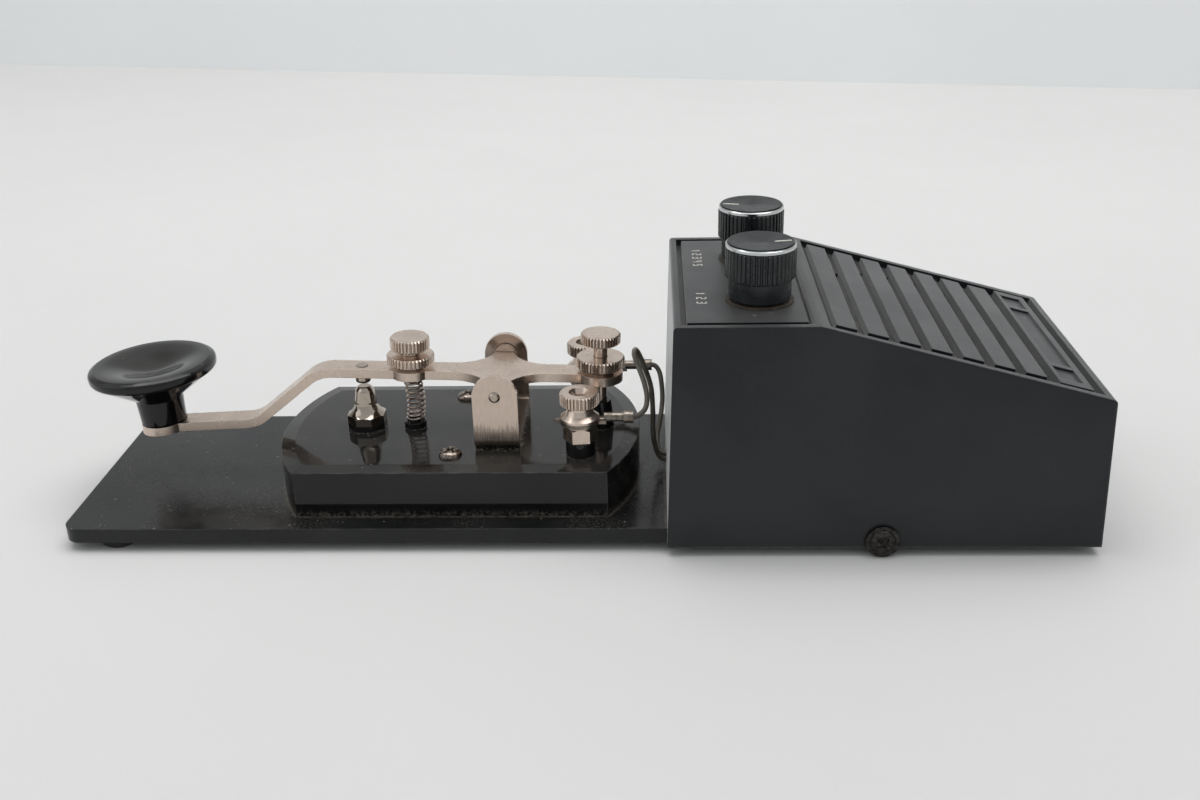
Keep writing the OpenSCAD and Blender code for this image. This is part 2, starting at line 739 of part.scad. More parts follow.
module lever_blank() {
    far = 20;
    tail = [gap_x + far, lever_mid];
    nose = lower_bend - far * 2 * [cos(droop_a), sin(droop_a)];
    arm_mid = lug_out - lever_t / 2;
    intersection() {
        translate([0, 0, base_top - far]) linear_extrude(base_h + pivot_h + 2 * far) lever_plan();
        translate([0, far, 0]) rotate([90, 0, 0]) linear_extrude(2 * far)
            polygon(strip([tail, upper_bend, lower_bend, nose], lever_bend_r, lever_t));
        slab(knob_x - far, gap_x + far, -arm_mid, arm_mid, base_top - far, pivot_z + far);
    }
    intersection() {
        translate([0, 0, base_top]) linear_extrude(pivot_h + far) cross_plan();
        translate([pivot_x - far, 0, 0]) rotate([90, 0, 90]) linear_extrude(2 * far)
            polygon(strip([[-arm_mid, pivot_z], [-arm_mid, lever_mid], [arm_mid, lever_mid],
                [arm_mid, pivot_z]], lever_t / 2 + 0.2, lever_t));
    }
    both_sides() rod_y(pivot_x, lug_out - lever_t, lug_out, pivot_z, 2 * lug_r);
}

module key_lever() {
    color(nickel) at_rest() difference() {
        lever_blank();
        rod_y(pivot_x, lug_out - lever_t - cut, lug_out + cut, pivot_z, pin_d);
        rod_y(pivot_x, -lug_out - cut, lever_t + cut - lug_out, pivot_z, pin_d);
        rod(spring_x, 0, lever_bottom - cut, lever_top + cut, spring_stud_d + 2 * run_gap);
        rod(gap_x, 0, lever_bottom - cut, lever_top + cut, gap_stud_d + 2 * run_gap);
        rod(post_x, 0, lever_bottom - cut, lever_top + cut, rivet_d);
        at_tab() rod(0, 0, -lever_t - cut, cut, 3);
    }
}

module trunnion_pins() {
    nose = 0.4;
    inside = 0.5;
    l = ear_out - lug_out + lever_t + inside;
    color(bright) at_rest() both_sides() translate([pivot_x, lug_out - lever_t - inside, pivot_z])
        rotate([-90, 0, 0]) rotate_extrude()
            polygon([[0, 0], [pin_d / 2, 0], [pin_d / 2, l], [pin_d / 2 - nose, l + nose], [0, l + nose]]);
}

module lever_contact() {
    low = base_top + post_h + 0.02;
    color(bright) at_rest() translate([post_x, 0, 0]) {
        rotate_extrude() polygon(rounded([[0, low], [contact_d / 2, low], [contact_d / 2, lever_bottom],
            [0, lever_bottom]], [0, 0.7, 0, 0]));
        rod(0, 0, lever_bottom - eps, lever_top + 0.15, rivet_d);
    }
}

// Fixed contact: round top, neck and an octagonal foot that stands on a black pad
module contact_post() {
    neck_h = 6.3;
    flare = 3.6;
    stem_l = 6;
    color(bright) translate([post_x, 0, base_top]) {
        rotate_extrude() polygon(rounded([[0, neck_h - eps], [post_d / 2, neck_h - eps],
            [post_d / 2 - 0.4, post_h - 0.9], [1.4, post_h], [0, post_h]], [0, 0, 0.8, 0.5, 0]));
        intersection() {
            rotate(22.5) cylinder(d = octagon_d, h = neck_h, $fn = 8);
            rotate_extrude() difference() {
                translate([0, pad_h]) square([octagon_d, neck_h - pad_h]);
                translate([post_d / 2 + flare, neck_h]) circle(flare);
                translate([post_d / 2 + flare, neck_h - flare]) square([octagon_d, flare]);
            }
        }
        translate([0, 0, -stem_l]) cylinder(d = post_stem_d, h = stem_l + pad_h + eps);
    }
}

module post_pad() {
    color(bakelite) translate([post_x, 0, base_top]) difference() {
        rotate(22.5) cylinder(d = octagon_d, h = pad_h, $fn = 8);
        translate([0, 0, -cut]) cylinder(d = post_stem_d, h = pad_h + 2 * cut);
    }
}

// Return spring: one round wire, its ends turned square to the seat and to the screw
spring_r = (spring_d - wire_d) / 2;
spring_steps = 8 * spring_turns;
spring_path = let (z0 = spring_low + wire_d, z1 = spring_high - wire_d)
    [[0, spring_low], for (i = [0 : spring_steps]) [i * 360 / 8, z0 + (z1 - z0) * i / spring_steps],
        [spring_turns * 360, spring_high]];
spring_points = [for (q = spring_path) [spring_r * cos(q[0]), spring_r * sin(q[0]), q[1]]];
spring_gap = min([for (i = [0 : len(spring_points) - 1]) for (j = [i + 5 : 1 : len(spring_points) - 1])
    norm(spring_points[i] - spring_points[j])]) - wire_d;
echo(least_gap_of_spring = spring_gap);

module return_spring() {
    color(bright) translate([spring_x, 0, 0])
        tube(spring_points, [for (q = spring_path) [cos(q[0]), sin(q[0]), 0]], wire_d / 2, 6);
}

module spring_seat() {
    color(bakelite) {
        rod(spring_x, 0, base_top, base_top + seat_h, spring_d + 2 * seat_rim);
        rod(spring_x, 0, base_top + seat_h - eps, base_top + seat_h + 1.2, tip_pin_d);
        rod(spring_x, 0, base_top - peg_l, base_top + eps, peg_d);
    }
}

// Thumbscrews and their lock nuts
module spring_screw() {
    through = lever_t + tip_drop;
    color(nickel) at_rest() translate([spring_x, 0, lever_top]) {
        translate([0, 0, spring_head_up]) knurled(spring_head_d, spring_head_h, 34, 0.35, 0.35);
        translate([0, 0, -through]) cylinder(d = spring_stud_d, h = through + spring_head_up + eps);
        translate([0, 0, -through - tip_pin_h]) cylinder(d = tip_pin_d, h = tip_pin_h + eps);
    }
}

module spring_lock_nut() {
    h = spring_hub_h + spring_nut_h;
    color(nickel) at_rest() translate([spring_x, 0, lever_top + seat_gap]) difference() {
        union() {
            cylinder(d = nut_hub_d, h = spring_hub_h);
            translate([0, 0, spring_hub_h - eps]) knurled(spring_nut_d, spring_nut_h, 38, 0.35, 0.3);
        }
        translate([0, 0, -cut]) cylinder(d = spring_stud_d + 2 * run_gap, h = h + 2 * cut);
    }
}

module gap_screw() {
    flare = 1.1;
    color(nickel) at_rest() translate([gap_x, 0, lever_top]) {
        translate([0, 0, gap_head_up]) knurled(gap_head_d, gap_head_h, 36, 0.45, 0.3);
        translate([0, 0, gap_tip - lever_top])
            cylinder(d = gap_stud_d, h = lever_top - gap_tip + gap_head_up + eps);
        translate([0, 0, gap_head_up - flare]) rotate_extrude() difference() {
            square([gap_stud_d / 2 + flare, flare + eps]);
            translate([gap_stud_d / 2 + flare, 0]) circle(flare);
        }
    }
}

module gap_lock_nut() {
    color(nickel) at_rest() translate([gap_x, 0, lever_top + seat_gap]) difference() {
        union() {
            cylinder(d = nut_hub_d, h = gap_hub_h);
            translate([0, 0, gap_hub_h - eps]) knurled(gap_nut_d, gap_nut_h, 40, 0.35, 0.3);
        }
        translate([0, 0, -cut]) cylinder(d = gap_stud_d + 2 * run_gap, h = gap_hub_h + gap_nut_h + 2 * cut);
    }
}

// Tapered boss that stops the gap screw
module gap_boss() {
    top_d = 4.6;
    foot_d = 5.6;
    color(bakelite) {
        translate([gap_x, 0, base_top]) cylinder(d1 = foot_d, d2 = top_d, h = gap_boss_h);
        rod(gap_x, 0, base_top - peg_l, base_top + eps, peg_d);
    }
}

// Key knob: disc with a rolled rim and a smooth dish, on a stem square to the tab
module key_knob() {
    r = knob_d / 2;
    h = knob_h;
    bore_h = 7;
    stem_top = h - 8.2;
    rim_low = h - 3.4;
    dish_r = r - 2;
    dish_steps = 24;
    stem = [[0, 0], [stem_d / 2 - 0.3, 0], [stem_d / 2, stem_top]];
    rim = [[r - 1.7, rim_low], [r, h - 2.3], [r, h - 0.6], [r - 1.2, h]];
    dish = [for (i = [dish_steps : -1 : 0]) let (t = i / dish_steps)
        [dish_r * t, h - dish_d * (1 + cos(180 * t)) / 2]];
    radii = concat([0, 0.4, 0.3, 1.5, 1, 0.9, 0.8], [for (q = dish) 0]);
    color(bakelite) at_rest() at_tab() difference() {
        rotate_extrude($fn = 96) polygon(rounded(concat(stem, rim, dish), radii));
        translate([0, 0, -cut]) cylinder(d = 2.9, h = bore_h + cut);
    }
}

module knob_screw() {
    color(nickel) at_rest() at_tab() {
        translate([0, 0, -lever_t]) mirror([0, 0, 1]) domed_head(5.2, 1.4);
        translate([0, 0, -lever_t - eps]) cylinder(d = 2.9, h = lever_t + 6.5);
    }
}

// Binding posts
module terminal_bosses() {
    color(bakelite) both_sides() difference() {
        rod(terminal_x, terminal_y, base_top, base_top + boss_h, boss_d);
        rod(terminal_x, terminal_y, base_top - cut, base_top + boss_h + cut, stud_d);
    }
}

module terminal_studs() {
    stud_top = lug_z + lug_t + thumb_h - 1.4;
    color(bright) both_sides() rod(terminal_x, terminal_y, plate_top + 2, stud_top, stud_d);
}

module terminal_nuts() {
    color(bright) both_sides() translate([terminal_x, terminal_y, base_top + boss_h]) rotate(-6)
        hexagon_nut(nut_af, hex_h, stud_d);
}

module terminal_washers() {
    z = base_top + boss_h + hex_h;
    color(nickel) both_sides() difference() {
        rod(terminal_x, terminal_y, z, z + washer_t - washer_air, 6.6);
        rod(terminal_x, terminal_y, z - cut, z + cut, stud_d);
    }
}

module thumb_nut() {
    knurl_h = thumb_h - thumb_foot_h;
    bore = stud_d + 2 * run_gap;
    mouth_h = 1.2;
    r = thumb_d / 2;
    color(nickel) translate([terminal_x, terminal_y, lug_z + lug_t + seat_gap]) difference() {
        union() {
            rotate_extrude() polygon([[0, 0], [r - 0.05, 0], [r - 0.05, 0.5], [r - 1, 1.3], [r - 1.5, 2.4],
                [r - 1.55, thumb_foot_h + eps], [0, thumb_foot_h + eps]]);
            translate([0, 0, thumb_foot_h]) knurled(thumb_d, knurl_h, 34, 0.35, 0.3);
        }
        translate([0, 0, -cut]) cylinder(d = bore, h = thumb_h + 2 * cut);
        translate([0, 0, thumb_h - mouth_h]) cylinder(d1 = bore, d2 = thumb_mouth_d, h = mouth_h + eps);
    }
}

module front_thumb_nut() {
    mirror([0, 1, 0]) thumb_nut();
}

module rear_thumb_nut() {
    thumb_nut();
}

// Ring lug: its neck carries a crimp on the wire and a wider sleeve on the cover of the lead
module ring_lug(reach) {
    crimp_x = reach - crimp_l;
    neck_w = 2.6;
    color(bright) translate([terminal_x, terminal_y, lug_z]) difference() {
        union() {
            cylinder(d = lug_d, h = lug_t);
            slab(lug_d / 2 - 1, crimp_x + 0.5, -neck_w / 2, neck_w / 2, 0, lug_t);
            translate([crimp_x, 0, crimp_up]) rotate([0, 90, 0]) cylinder(d = crimp_d, h = crimp_l - 0.5);
            translate([reach - sleeve_l, 0, crimp_up]) rotate([0, 90, 0])
                cylinder(d = sleeve_d, h = sleeve_l);
            translate([-lug_d / 2 - 1.3, 0, 0]) linear_extrude(lug_t) polygon([[0, 0], [2, -1.2], [2, 1.2]]);
        }
        translate([0, 0, -cut]) cylinder(d = stud_d + 0.1, h = lug_t + 2 * cut);
        translate([crimp_x - cut, 0, crimp_up]) rotate([0, 90, 0])
            cylinder(d = lead_d + 0.02, h = crimp_l + 2 * cut);
    }
}

module front_ring_lug() {
    mirror([0, 1, 0]) ring_lug(front_reach);
}

module rear_ring_lug() {
    ring_lug(rear_reach);
}

module front_lead() {
    color("#5a544d") lead(front_route);
}

module rear_lead() {
    color("#5a544d") lead(rear_route);
}

// Controls: fluted skirt over a smooth hub, hollow over the nut
module control_knob() {
    skirt_z = fibre_t + knob_lift + hub_h;
    skirt_h = control_h - cap_h - skirt_z;
    difference() {
        union() {
            translate([0, 0, fibre_t + knob_lift - 0.4]) cylinder(d = control_d - 1.6, h = hub_h + 0.4 + eps);
            translate([0, 0, skirt_z]) knurled(control_d, skirt_h, control_flutes, 0.3, 0.4);
        }
        translate([0, 0, -cut]) cylinder(d = control_d - 3.4, h = cut + bushing_up + 0.6);
        translate([0, 0, -cut]) cylinder(d = shaft_d, h = cut + control_h - cap_h - crown_t);
    }
}

module front_knob() {
    color(bakelite) translate([pot_x, -control_y, case_top]) control_knob();
}

module rear_knob() {
    color(bakelite) translate([pot_x, control_y, case_top]) control_knob();
}

module knob_cap() {
    r = control_d / 2 - 0.1;
    bevel = 0.45;
    land = 0.25;
    dip = 0.35;
    color("#c9cbcc") translate([0, 0, control_h - cap_h]) rotate_extrude() polygon([[0, 0], [r, 0],
        [r, cap_h - bevel], [r - bevel, cap_h], [r - bevel - land, cap_h], [0, cap_h - dip]]);
}

module front_knob_cap() {
    translate([pot_x, -control_y, case_top]) knob_cap();
}

module rear_knob_cap() {
    translate([pot_x, control_y, case_top]) knob_cap();
}

module panel_washers() {
    color("#6b5a45") both_sides() difference() {
        rod(pot_x, control_y, case_top, case_top + fibre_t, 13.8);
        rod(pot_x, control_y, case_top - cut, case_top + cut, bushing_d + 0.1);
    }
}

// Potentiometer: can, contact legs and threaded bushing, with a bore for the shaft
module potentiometer(y) {
    color("#9a8f7a") translate([pot_x, y, roof_under]) difference() {
        union() {
            translate([0, 0, -pot_h]) cylinder(d = pot_d, h = pot_h);
            translate([0, 0, -eps]) cylinder(d = bushing_d, h = roof_t + bushing_up);
            translate([0, 0, -pot_h]) linear_extrude(1.6) for (x = [-5, 0, 5]) translate([x - 0.6, 0])
                square([1.2, pot_d / 2 + 4]);
        }
        translate([0, 0, -pot_h + 1.5]) cylinder(d = shaft_d + 2 * run_gap, h = pot_h + roof_t + bushing_up);
    }
}

module front_pot() {
    mirror([0, 1, 0]) potentiometer(control_y);
}

module rear_pot() {
    mirror([0, 1, 0]) potentiometer(-control_y);
}

module control_shaft(y) {
    color(nickel) rod(pot_x, y, roof_under - pot_h + pot_floor + seat_gap,
        case_top + control_h - cap_h - crown_t, shaft_d);
}

module front_shaft() {
    control_shaft(-control_y);
}

module rear_shaft() {
    control_shaft(control_y);
}

module pot_nuts() {
    color(nickel) both_sides() translate([pot_x, control_y, case_top + fibre_t]) difference() {
        cylinder(d = 9.6, h = 1.7, $fn = 6);
        translate([0, 0, -cut]) cylinder(d = bushing_d, h = 4);
    }
}

// Board and what is soldered to it
module board_holes() {
    both_sides() for (x = [board_x0 + board_inset, board_x1 - board_inset])
        translate([x, board_w / 2 - board_inset, 0]) children();
}

module circuit_board() {
    color("#2f5b34") difference() {
        slab(board_x0, board_x1, -board_w / 2, board_w / 2, board_z, board_top);
        board_holes() rod(0, 0, board_z - cut, board_top + cut, board_hole_d);
    }
}

module board_standoffs() {
    color("#b99a5b") board_holes() difference() {
        rod(0, 0, plate_top, board_z, 2 * board_hole_d);
        rod(0, 0, plate_top - cut, board_z + cut, board_hole_d);
    }
}

module board_screws() {
    color(nickel) board_holes() {
        rod(0, 0, foot_h + 0.3, board_top + eps, board_hole_d);
        translate([0, 0, board_top]) domed_head(4.6, 1.4);
    }
}

// Chip with four legs on each side
module oscillator_chip() {
    body_l = 10;
    body_w = 6.4;
    body_h = 3.2;
    stand = 0.6;
    leg_w = 0.5;
    leg_t = 0.7;
    leg_pitch = 2.54;
    translate([board_x0 + chip_in - body_l / 2, 0, board_top]) color("#1c1c1e") {
        slab(0, body_l, -body_w / 2, body_w / 2, stand, stand + body_h);
        both_sides() for (i = [0 : 3]) translate([(body_l - leg_w - 3 * leg_pitch) / 2 + i * leg_pitch, 0, 0])
            slab(0, leg_w, body_w / 2 - eps, body_w / 2 + leg_t, 0, stand + body_h / 2);
    }
}

module capacitors() {
    color("#27344f") for (c = [[16, -12, 8], [16, -2, 6.3], [8, 8, 6.3], [18, 13, 5]])
        rod(board_x1 - c[0], c[1], board_top, board_top + capacitor_h, c[2]);
}

// Resistors lying across the board, each on its two bent legs
module resistors() {
    body_l = 6;
    body_d = 2.2;
    leg_d = 0.6;
    leg_out = 1.5;
    leg_up = body_d / 2;
    color("#b79a6d") for (i = [0 : 3])
        translate([board_x0 + 12 + i * 4, -9 - i % 2, board_top + leg_up]) rotate([90, 0, 0]) {
            cylinder(d = body_d, h = body_l);
            translate([0, 0, -leg_out]) cylinder(d = leg_d, h = body_l + 2 * leg_out);
            for (z = [-leg_out, body_l + leg_out]) translate([0, 0, z]) {
                sphere(d = leg_d);
                rotate([90, 0, 0]) cylinder(d = leg_d, h = leg_up);
            }
        }
}

// Speaker under the slots, parallel to the roof
module at_speaker() {
    on_slope() translate([speaker_u, 0, -roof_t]) mirror([0, 0, 1]) children();
}

module speaker_frame() {
    r = speaker_d / 2;
    color("#8d8f92") at_speaker() difference() {
        rotate_extrude() polygon([[r - 4, surround_t], [r - rim_in, surround_t], [r - rim_in, 0], [r, 0],
            [r, 1.2], [r - 3.4, 1.2], [basket_r, speaker_h], [0, speaker_h], [0, speaker_h - basket_t],
            [basket_r - 0.4, speaker_h - basket_t], [r - 4, 1]]);
        speaker_holes() translate([0, 0, -cut]) cylinder(d = speaker_hole_d, h = 3);
    }
}

module speaker_cone() {
    r = speaker_d / 2;
    edge = r - rim_in - 0.1;
    color("#3b3a38") at_speaker() rotate_extrude() polygon([[edge, 0], [edge, surround_t],
        [r - 4.4, surround_t], [r - 6, 1], [7, 6.4], [0, 5.4], [0, 4.8], [6.6, 5.6],
        [r - 6.2, 0.4], [r - 5, 0]]);
}

module speaker_magnet() {
    color("#55565a") at_speaker() translate([0, 0, speaker_h]) cylinder(r = basket_r, h = 5);
}

module speaker_holes() {
    for (a = [45 : 90 : 315]) rotate(a) translate([speaker_d / 2 - 1.6, 0, 0]) children();
}

module speaker_screws() {
    head_h = 0.8;
    color(nickel) at_speaker() speaker_holes() {
        translate([0, 0, eps]) cylinder(d = speaker_hole_d, h = 1.2);
        translate([0, 0, 1.2]) cylinder(d = 3, h = head_h);
    }
}

// Battery lying on its side in a spring clip
module at_battery() {
    translate([battery_x, battery_y, plate_top]) children();
}

module battery_studs() {
    for (x = [-6.35, 6.35]) rod_y(x, battery_l / 2 - eps, battery_l / 2 + 2.2, clip_t + battery_h / 2, 6);
}

module battery() {
    color("#4b4e57") at_battery() {
        slab(-battery_w / 2, battery_w / 2, -battery_l / 2, battery_l / 2, clip_t, clip_t + battery_h);
        battery_studs();
    }
}

module battery_snap() {
    inset = 2;
    color("#1b1b1d") at_battery() difference() {
        slab(inset / 2 - battery_w / 2, battery_w / 2 - inset / 2, battery_l / 2 + 0.2,
            battery_l / 2 + 0.2 + snap_t, clip_t + inset, clip_t + battery_h - inset);
        battery_studs();
    }
}

module battery_clip() {
    w = battery_w / 2 + clip_t;
    band_w = 16;
    arm_h = 12;
    color(nickel) at_battery() translate([0, band_w / 2, 0]) rotate([90, 0, 0]) linear_extrude(band_w)
        difference() {
            translate([-w, 0]) square([2 * w, arm_h]);
            translate([clip_t - w, clip_t]) square([2 * (w - clip_t), arm_h]);
        }
}

// Jacks in the rear wall
module jack_body(x, l) {
    slab(x - jack_half, x + jack_half, jack_inner - l, jack_inner, jack_z - jack_half, jack_z + jack_half);
}

module phones_jack() {
    color("#26272a") difference() {
        union() {
            jack_body(phones_x, phones_l);
            rod_y(phones_x, jack_inner - eps, jack_face + 1.4, jack_z, phones_bush_d);
            rod_y(phones_x, jack_face, jack_face + jack_nut_t, jack_z, phones_nut_d);
        }
        rod_y(phones_x, jack_inner - phones_l + 2, jack_face + 2 * cut, jack_z, phones_bore_d);
    }
}

module power_jack() {
    color("#26272a") {
        difference() {
            union() {
                jack_body(power_x, power_l);
                rod_y(power_x, jack_inner - eps, jack_face + jack_nut_t, jack_z, power_bush_d);
                rod_y(power_x, jack_face, jack_face + jack_nut_t, jack_z, power_flange_d);
            }
            rod_y(power_x, jack_inner - power_l + 2, jack_face + 2 * cut, jack_z, power_bore_d);
        }
        rod_y(power_x, jack_inner - power_l + 2 - eps, jack_face, jack_z, 2.1);
    }
}

base_plate();
rubber_feet();
case_shell();
side_washers();
side_screws();
key_base();
base_screws();
trunnion_bracket();
bracket_screw();
key_lever();
trunnion_pins();
lever_contact();
contact_post();
return_spring();
spring_seat();
spring_screw();
spring_lock_nut();
gap_screw();
gap_lock_nut();
post_pad();
gap_boss();
key_knob();
knob_screw();
terminal_bosses();
terminal_studs();
terminal_nuts();
terminal_washers();
front_thumb_nut();
rear_thumb_nut();
front_ring_lug();
rear_ring_lug();
front_lead();
rear_lead();
front_knob();
rear_knob();
front_knob_cap();
rear_knob_cap();
panel_washers();
front_pot();
rear_pot();
front_shaft();
rear_shaft();
pot_nuts();
circuit_board();
board_standoffs();
board_screws();
oscillator_chip();
capacitors();
resistors();
speaker_frame();
speaker_cone();
speaker_magnet();
speaker_screws();
battery();
battery_snap();
battery_clip();
phones_jack();
power_jack();
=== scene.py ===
import math

import bpy
from mathutils import Matrix, Vector


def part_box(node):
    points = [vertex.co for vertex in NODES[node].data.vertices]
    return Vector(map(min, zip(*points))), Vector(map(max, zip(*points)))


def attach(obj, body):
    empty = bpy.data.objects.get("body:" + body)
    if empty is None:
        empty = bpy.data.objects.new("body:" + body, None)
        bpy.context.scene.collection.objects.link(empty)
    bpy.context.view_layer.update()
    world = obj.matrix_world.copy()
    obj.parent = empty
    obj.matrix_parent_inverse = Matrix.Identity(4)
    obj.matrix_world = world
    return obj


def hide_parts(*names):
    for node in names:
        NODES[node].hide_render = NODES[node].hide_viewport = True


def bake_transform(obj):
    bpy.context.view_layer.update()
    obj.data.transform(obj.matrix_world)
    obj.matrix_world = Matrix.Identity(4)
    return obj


bl_info = {
    "name": "Morse Code Practice Oscillator",
    "version": (1, 0, 0),
    "blender": (4, 5, 0),
    "location": "View3D > Sidebar > Oscillator",
    "description": "Finishes and small pieces of a straight key with a tone oscillator on one plate",
    "category": "Add Mesh",
}

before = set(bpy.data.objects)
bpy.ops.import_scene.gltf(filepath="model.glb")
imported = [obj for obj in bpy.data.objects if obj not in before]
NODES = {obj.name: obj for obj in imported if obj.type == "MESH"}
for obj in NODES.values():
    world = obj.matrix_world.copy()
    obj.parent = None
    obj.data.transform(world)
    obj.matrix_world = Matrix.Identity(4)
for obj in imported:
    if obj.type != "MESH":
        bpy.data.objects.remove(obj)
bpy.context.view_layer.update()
MM = 0.001

# Places that the frame gives, in metres
BASE_LOW, BASE_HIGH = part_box("key_base")
PANEL_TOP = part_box("case_shell")[1].z
CASE_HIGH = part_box("case_shell")[1]

# The roof of the case is level up to the knee, and to the right of it falls with the slope
KNEE_X = 49.4 * MM
SLOPE = math.radians(15.3)

# Most values of a noise texture lie between these two
NOISE_LOW, NOISE_HIGH = 0.36, 0.64

# Routes of the two leads, in metres: out of the crimp, over, down and in through the slot under the case wall
FRONT_ROUTE = [
    (0.0098, -0.0143, 0.0242), (0.0131, -0.0143, 0.0242), (0.0152, -0.014, 0.0256), (0.0158, -0.0134, 0.028),
    (0.0152, -0.0126, 0.0314), (0.0139, -0.0118, 0.035), (0.0132, -0.0113, 0.0371), (0.0134, -0.0107, 0.038),
    (0.0141, -0.0098, 0.0367), (0.0153, -0.0084, 0.033), (0.0166, -0.0067, 0.0278), (0.017, -0.0051, 0.0215),
    (0.017, -0.0035, 0.0158), (0.0176, -0.002, 0.0108), (0.0188, -0.0016, 0.0082), (0.0208, -0.0015, 0.0076),
    (0.023, -0.0015, 0.0082), (0.0246, -0.0015, 0.0106), (0.026, -0.0015, 0.0132), (0.0278, -0.0015, 0.014),
    (0.029, -0.0015, 0.013), (0.029, -0.0015, 0.0118),
]
REAR_ROUTE = [
    (0.0134, 0.0143, 0.0242), (0.017, 0.0143, 0.0242), (0.0184, 0.0137, 0.023), (0.019, 0.0123, 0.0206),
    (0.0192, 0.0106, 0.0174), (0.0188, 0.008, 0.0142), (0.018, 0.0054, 0.0109), (0.018, 0.0031, 0.0088),
    (0.0192, 0.0017, 0.0077), (0.0212, 0.0015, 0.0076), (0.0232, 0.0015, 0.0084), (0.0246, 0.0015, 0.0106),
    (0.026, 0.0015, 0.0132), (0.0278, 0.0015, 0.014), (0.029, 0.0015, 0.013), (0.029, 0.0015, 0.0118),
]

# Seven-segment strokes of the numerals: a unit cell 1 wide and 2 high
STROKES = {
    "1": [((0.5, 0), (0.5, 2)), ((0.5, 2), (0.15, 1.6))],
    "2": [((0, 2), (1, 2)), ((1, 2), (1, 1)), ((1, 1), (0, 1)), ((0, 1), (0, 0)), ((0, 0), (1, 0))],
    "3": [((0, 2), (1, 2)), ((1, 2), (1, 0)), ((1, 0), (0, 0)), ((0.2, 1), (1, 1))],
    "4": [((0, 2), (0, 1)), ((0, 1), (1, 1)), ((1, 2), (1, 0))],
    "5": [((1, 2), (0, 2)), ((0, 2), (0, 1)), ((0, 1), (1, 1)), ((1, 1), (1, 0)), ((1, 0), (0, 0))],
}


def linear(hex_colour):
    """An sRGB hex value as linear red, green, blue and alpha."""
    channels = [int(hex_colour[i : i + 2], 16) / 255 for i in (1, 3, 5)]
    return tuple(c / 12.92 if c <= 0.04045 else ((c + 0.055) / 1.055) ** 2.4 for c in channels) + (1.0,)


def tint(name, description, hex_colour):
    """A colour that the panel offers."""
    return bpy.props.FloatVectorProperty(
        name=name, description=description, subtype="COLOR", size=4, min=0, max=1, default=linear(hex_colour)
    )


def length(name, description, default_mm):
    """A length that the panel offers, with its default in millimetres."""
    return bpy.props.FloatProperty(
        name=name, description=description, subtype="DISTANCE", unit="LENGTH", min=0, default=default_mm * MM
    )


class OscillatorColours(bpy.types.PropertyGroup):
    """Colours of the finishes."""

    enamel: tint("Enamel", "Baked black paint of the plate", "#0f1011")
    case: tint("Case", "Black plastic of the case", "#0f1115")
    bakelite: tint("Bakelite", "Black of the key base and the key knob", "#0c0c0d")
    knob: tint("Control knobs", "Black of the control knobs", "#121418")
    nickel: tint("Nickel", "Warm grey of the nickel plate", "#d7c5b7")
    bright_nickel: tint("Polished nickel", "Grey of the polished nickel plate", "#b5a99d")
    zinc: tint("Zinc", "Grey of the zinc plate inside the case", "#a5a39c")
    aluminium: tint("Aluminium", "Bright turned rim of the caps", "#c9cbcb")
    anodised: tint("Anodised", "Black anodised face of the caps", "#1a1b1d")
    marks: tint("Marks", "Pointers and numerals", "#d9d6cc")
    lead: tint("Leads", "Aged cover of the leads", "#6a645b")
    # Also the colour of the painted highlight along the edges of the plate and the key base
    dust_and_painted_light: tint("Dust", "Dust on the upper faces", "#8c8478")
    crevice_colour: tint("Grime", "Brown dust in the grooves", "#6f675c")
    floor: tint("Floor", "Paper under the object", "#d0cfcd")
    wall: tint("Backdrop", "Backdrop behind the object", "#e8e9e9")


class OscillatorSizes(bpy.types.PropertyGroup):
    """Sizes of the small pieces."""

    lead_diameter: length("Lead diameter", "Outer diameter of a lead", 1.1)
    wire_diameter: length("Spring wire", "Diameter of the wire of the return spring", 0.5)
    spring_diameter: length("Spring diameter", "Outer diameter of the return spring", 4.2)
    spring_bow: length("Spring bow", "How far the middle of the return spring stands off its axis", 0.55)
    spring_turns: bpy.props.IntProperty(
        name="Spring turns", description="Turns of the return spring", default=10, min=4
    )
    pointer_length: length("Pointer length", "Length of the line on a control knob", 2.9)
    pointer_width: length("Pointer width", "Width of the line on a control knob", 0.55)
    numeral_height: length("Numeral height", "Height of the numerals on the panel", 2.1)
    numeral_stroke: length("Numeral stroke", "Width of a stroke of the numerals", 0.32)


def add(tree, kind, inputs=None, **settings):
    """Adds a node. Each input takes a value or the output of another node."""
    made = tree.nodes.new("ShaderNode" + kind)
    for name, value in settings.items():
        setattr(made, name, value)
    for socket, value in (inputs or {}).items():
        if isinstance(value, bpy.types.NodeSocket):
            tree.links.new(value, made.inputs[socket])
        else:
            made.inputs[socket].default_value = value
    return made


def start(name, metallic=0.0, ior=None):
    """A material with its shader and the coordinates of the piece."""
    material = bpy.data.materials.new(name)
    material.use_nodes = True
    tree = material.node_tree
    shader = tree.nodes["Principled BSDF"]
    shader.inputs["Metallic"].default_value = metallic
    if ior:
        shader.inputs["IOR"].default_value = ior
    return material, tree, shader, add(tree, "TexCoord")


def patches(tree, place, size_mm, low, high, detail=3.0, stretch=(1, 1, 1)):
    """Soft patches about size_mm across, from low to high."""
    grown = add(tree, "Mapping", {"Vector": place.outputs["Object"], "Scale": stretch})
    cloud = add(tree, "TexNoise", {"Vector": grown.outputs[0], "Scale": 1 / (size_mm * MM), "Detail": detail})
    limits = {"From Min": NOISE_LOW, "From Max": NOISE_HIGH, "To Min": low, "To Max": high}
    return add(tree, "MapRange", {"Value": cloud.outputs[0], **limits}).outputs[0]


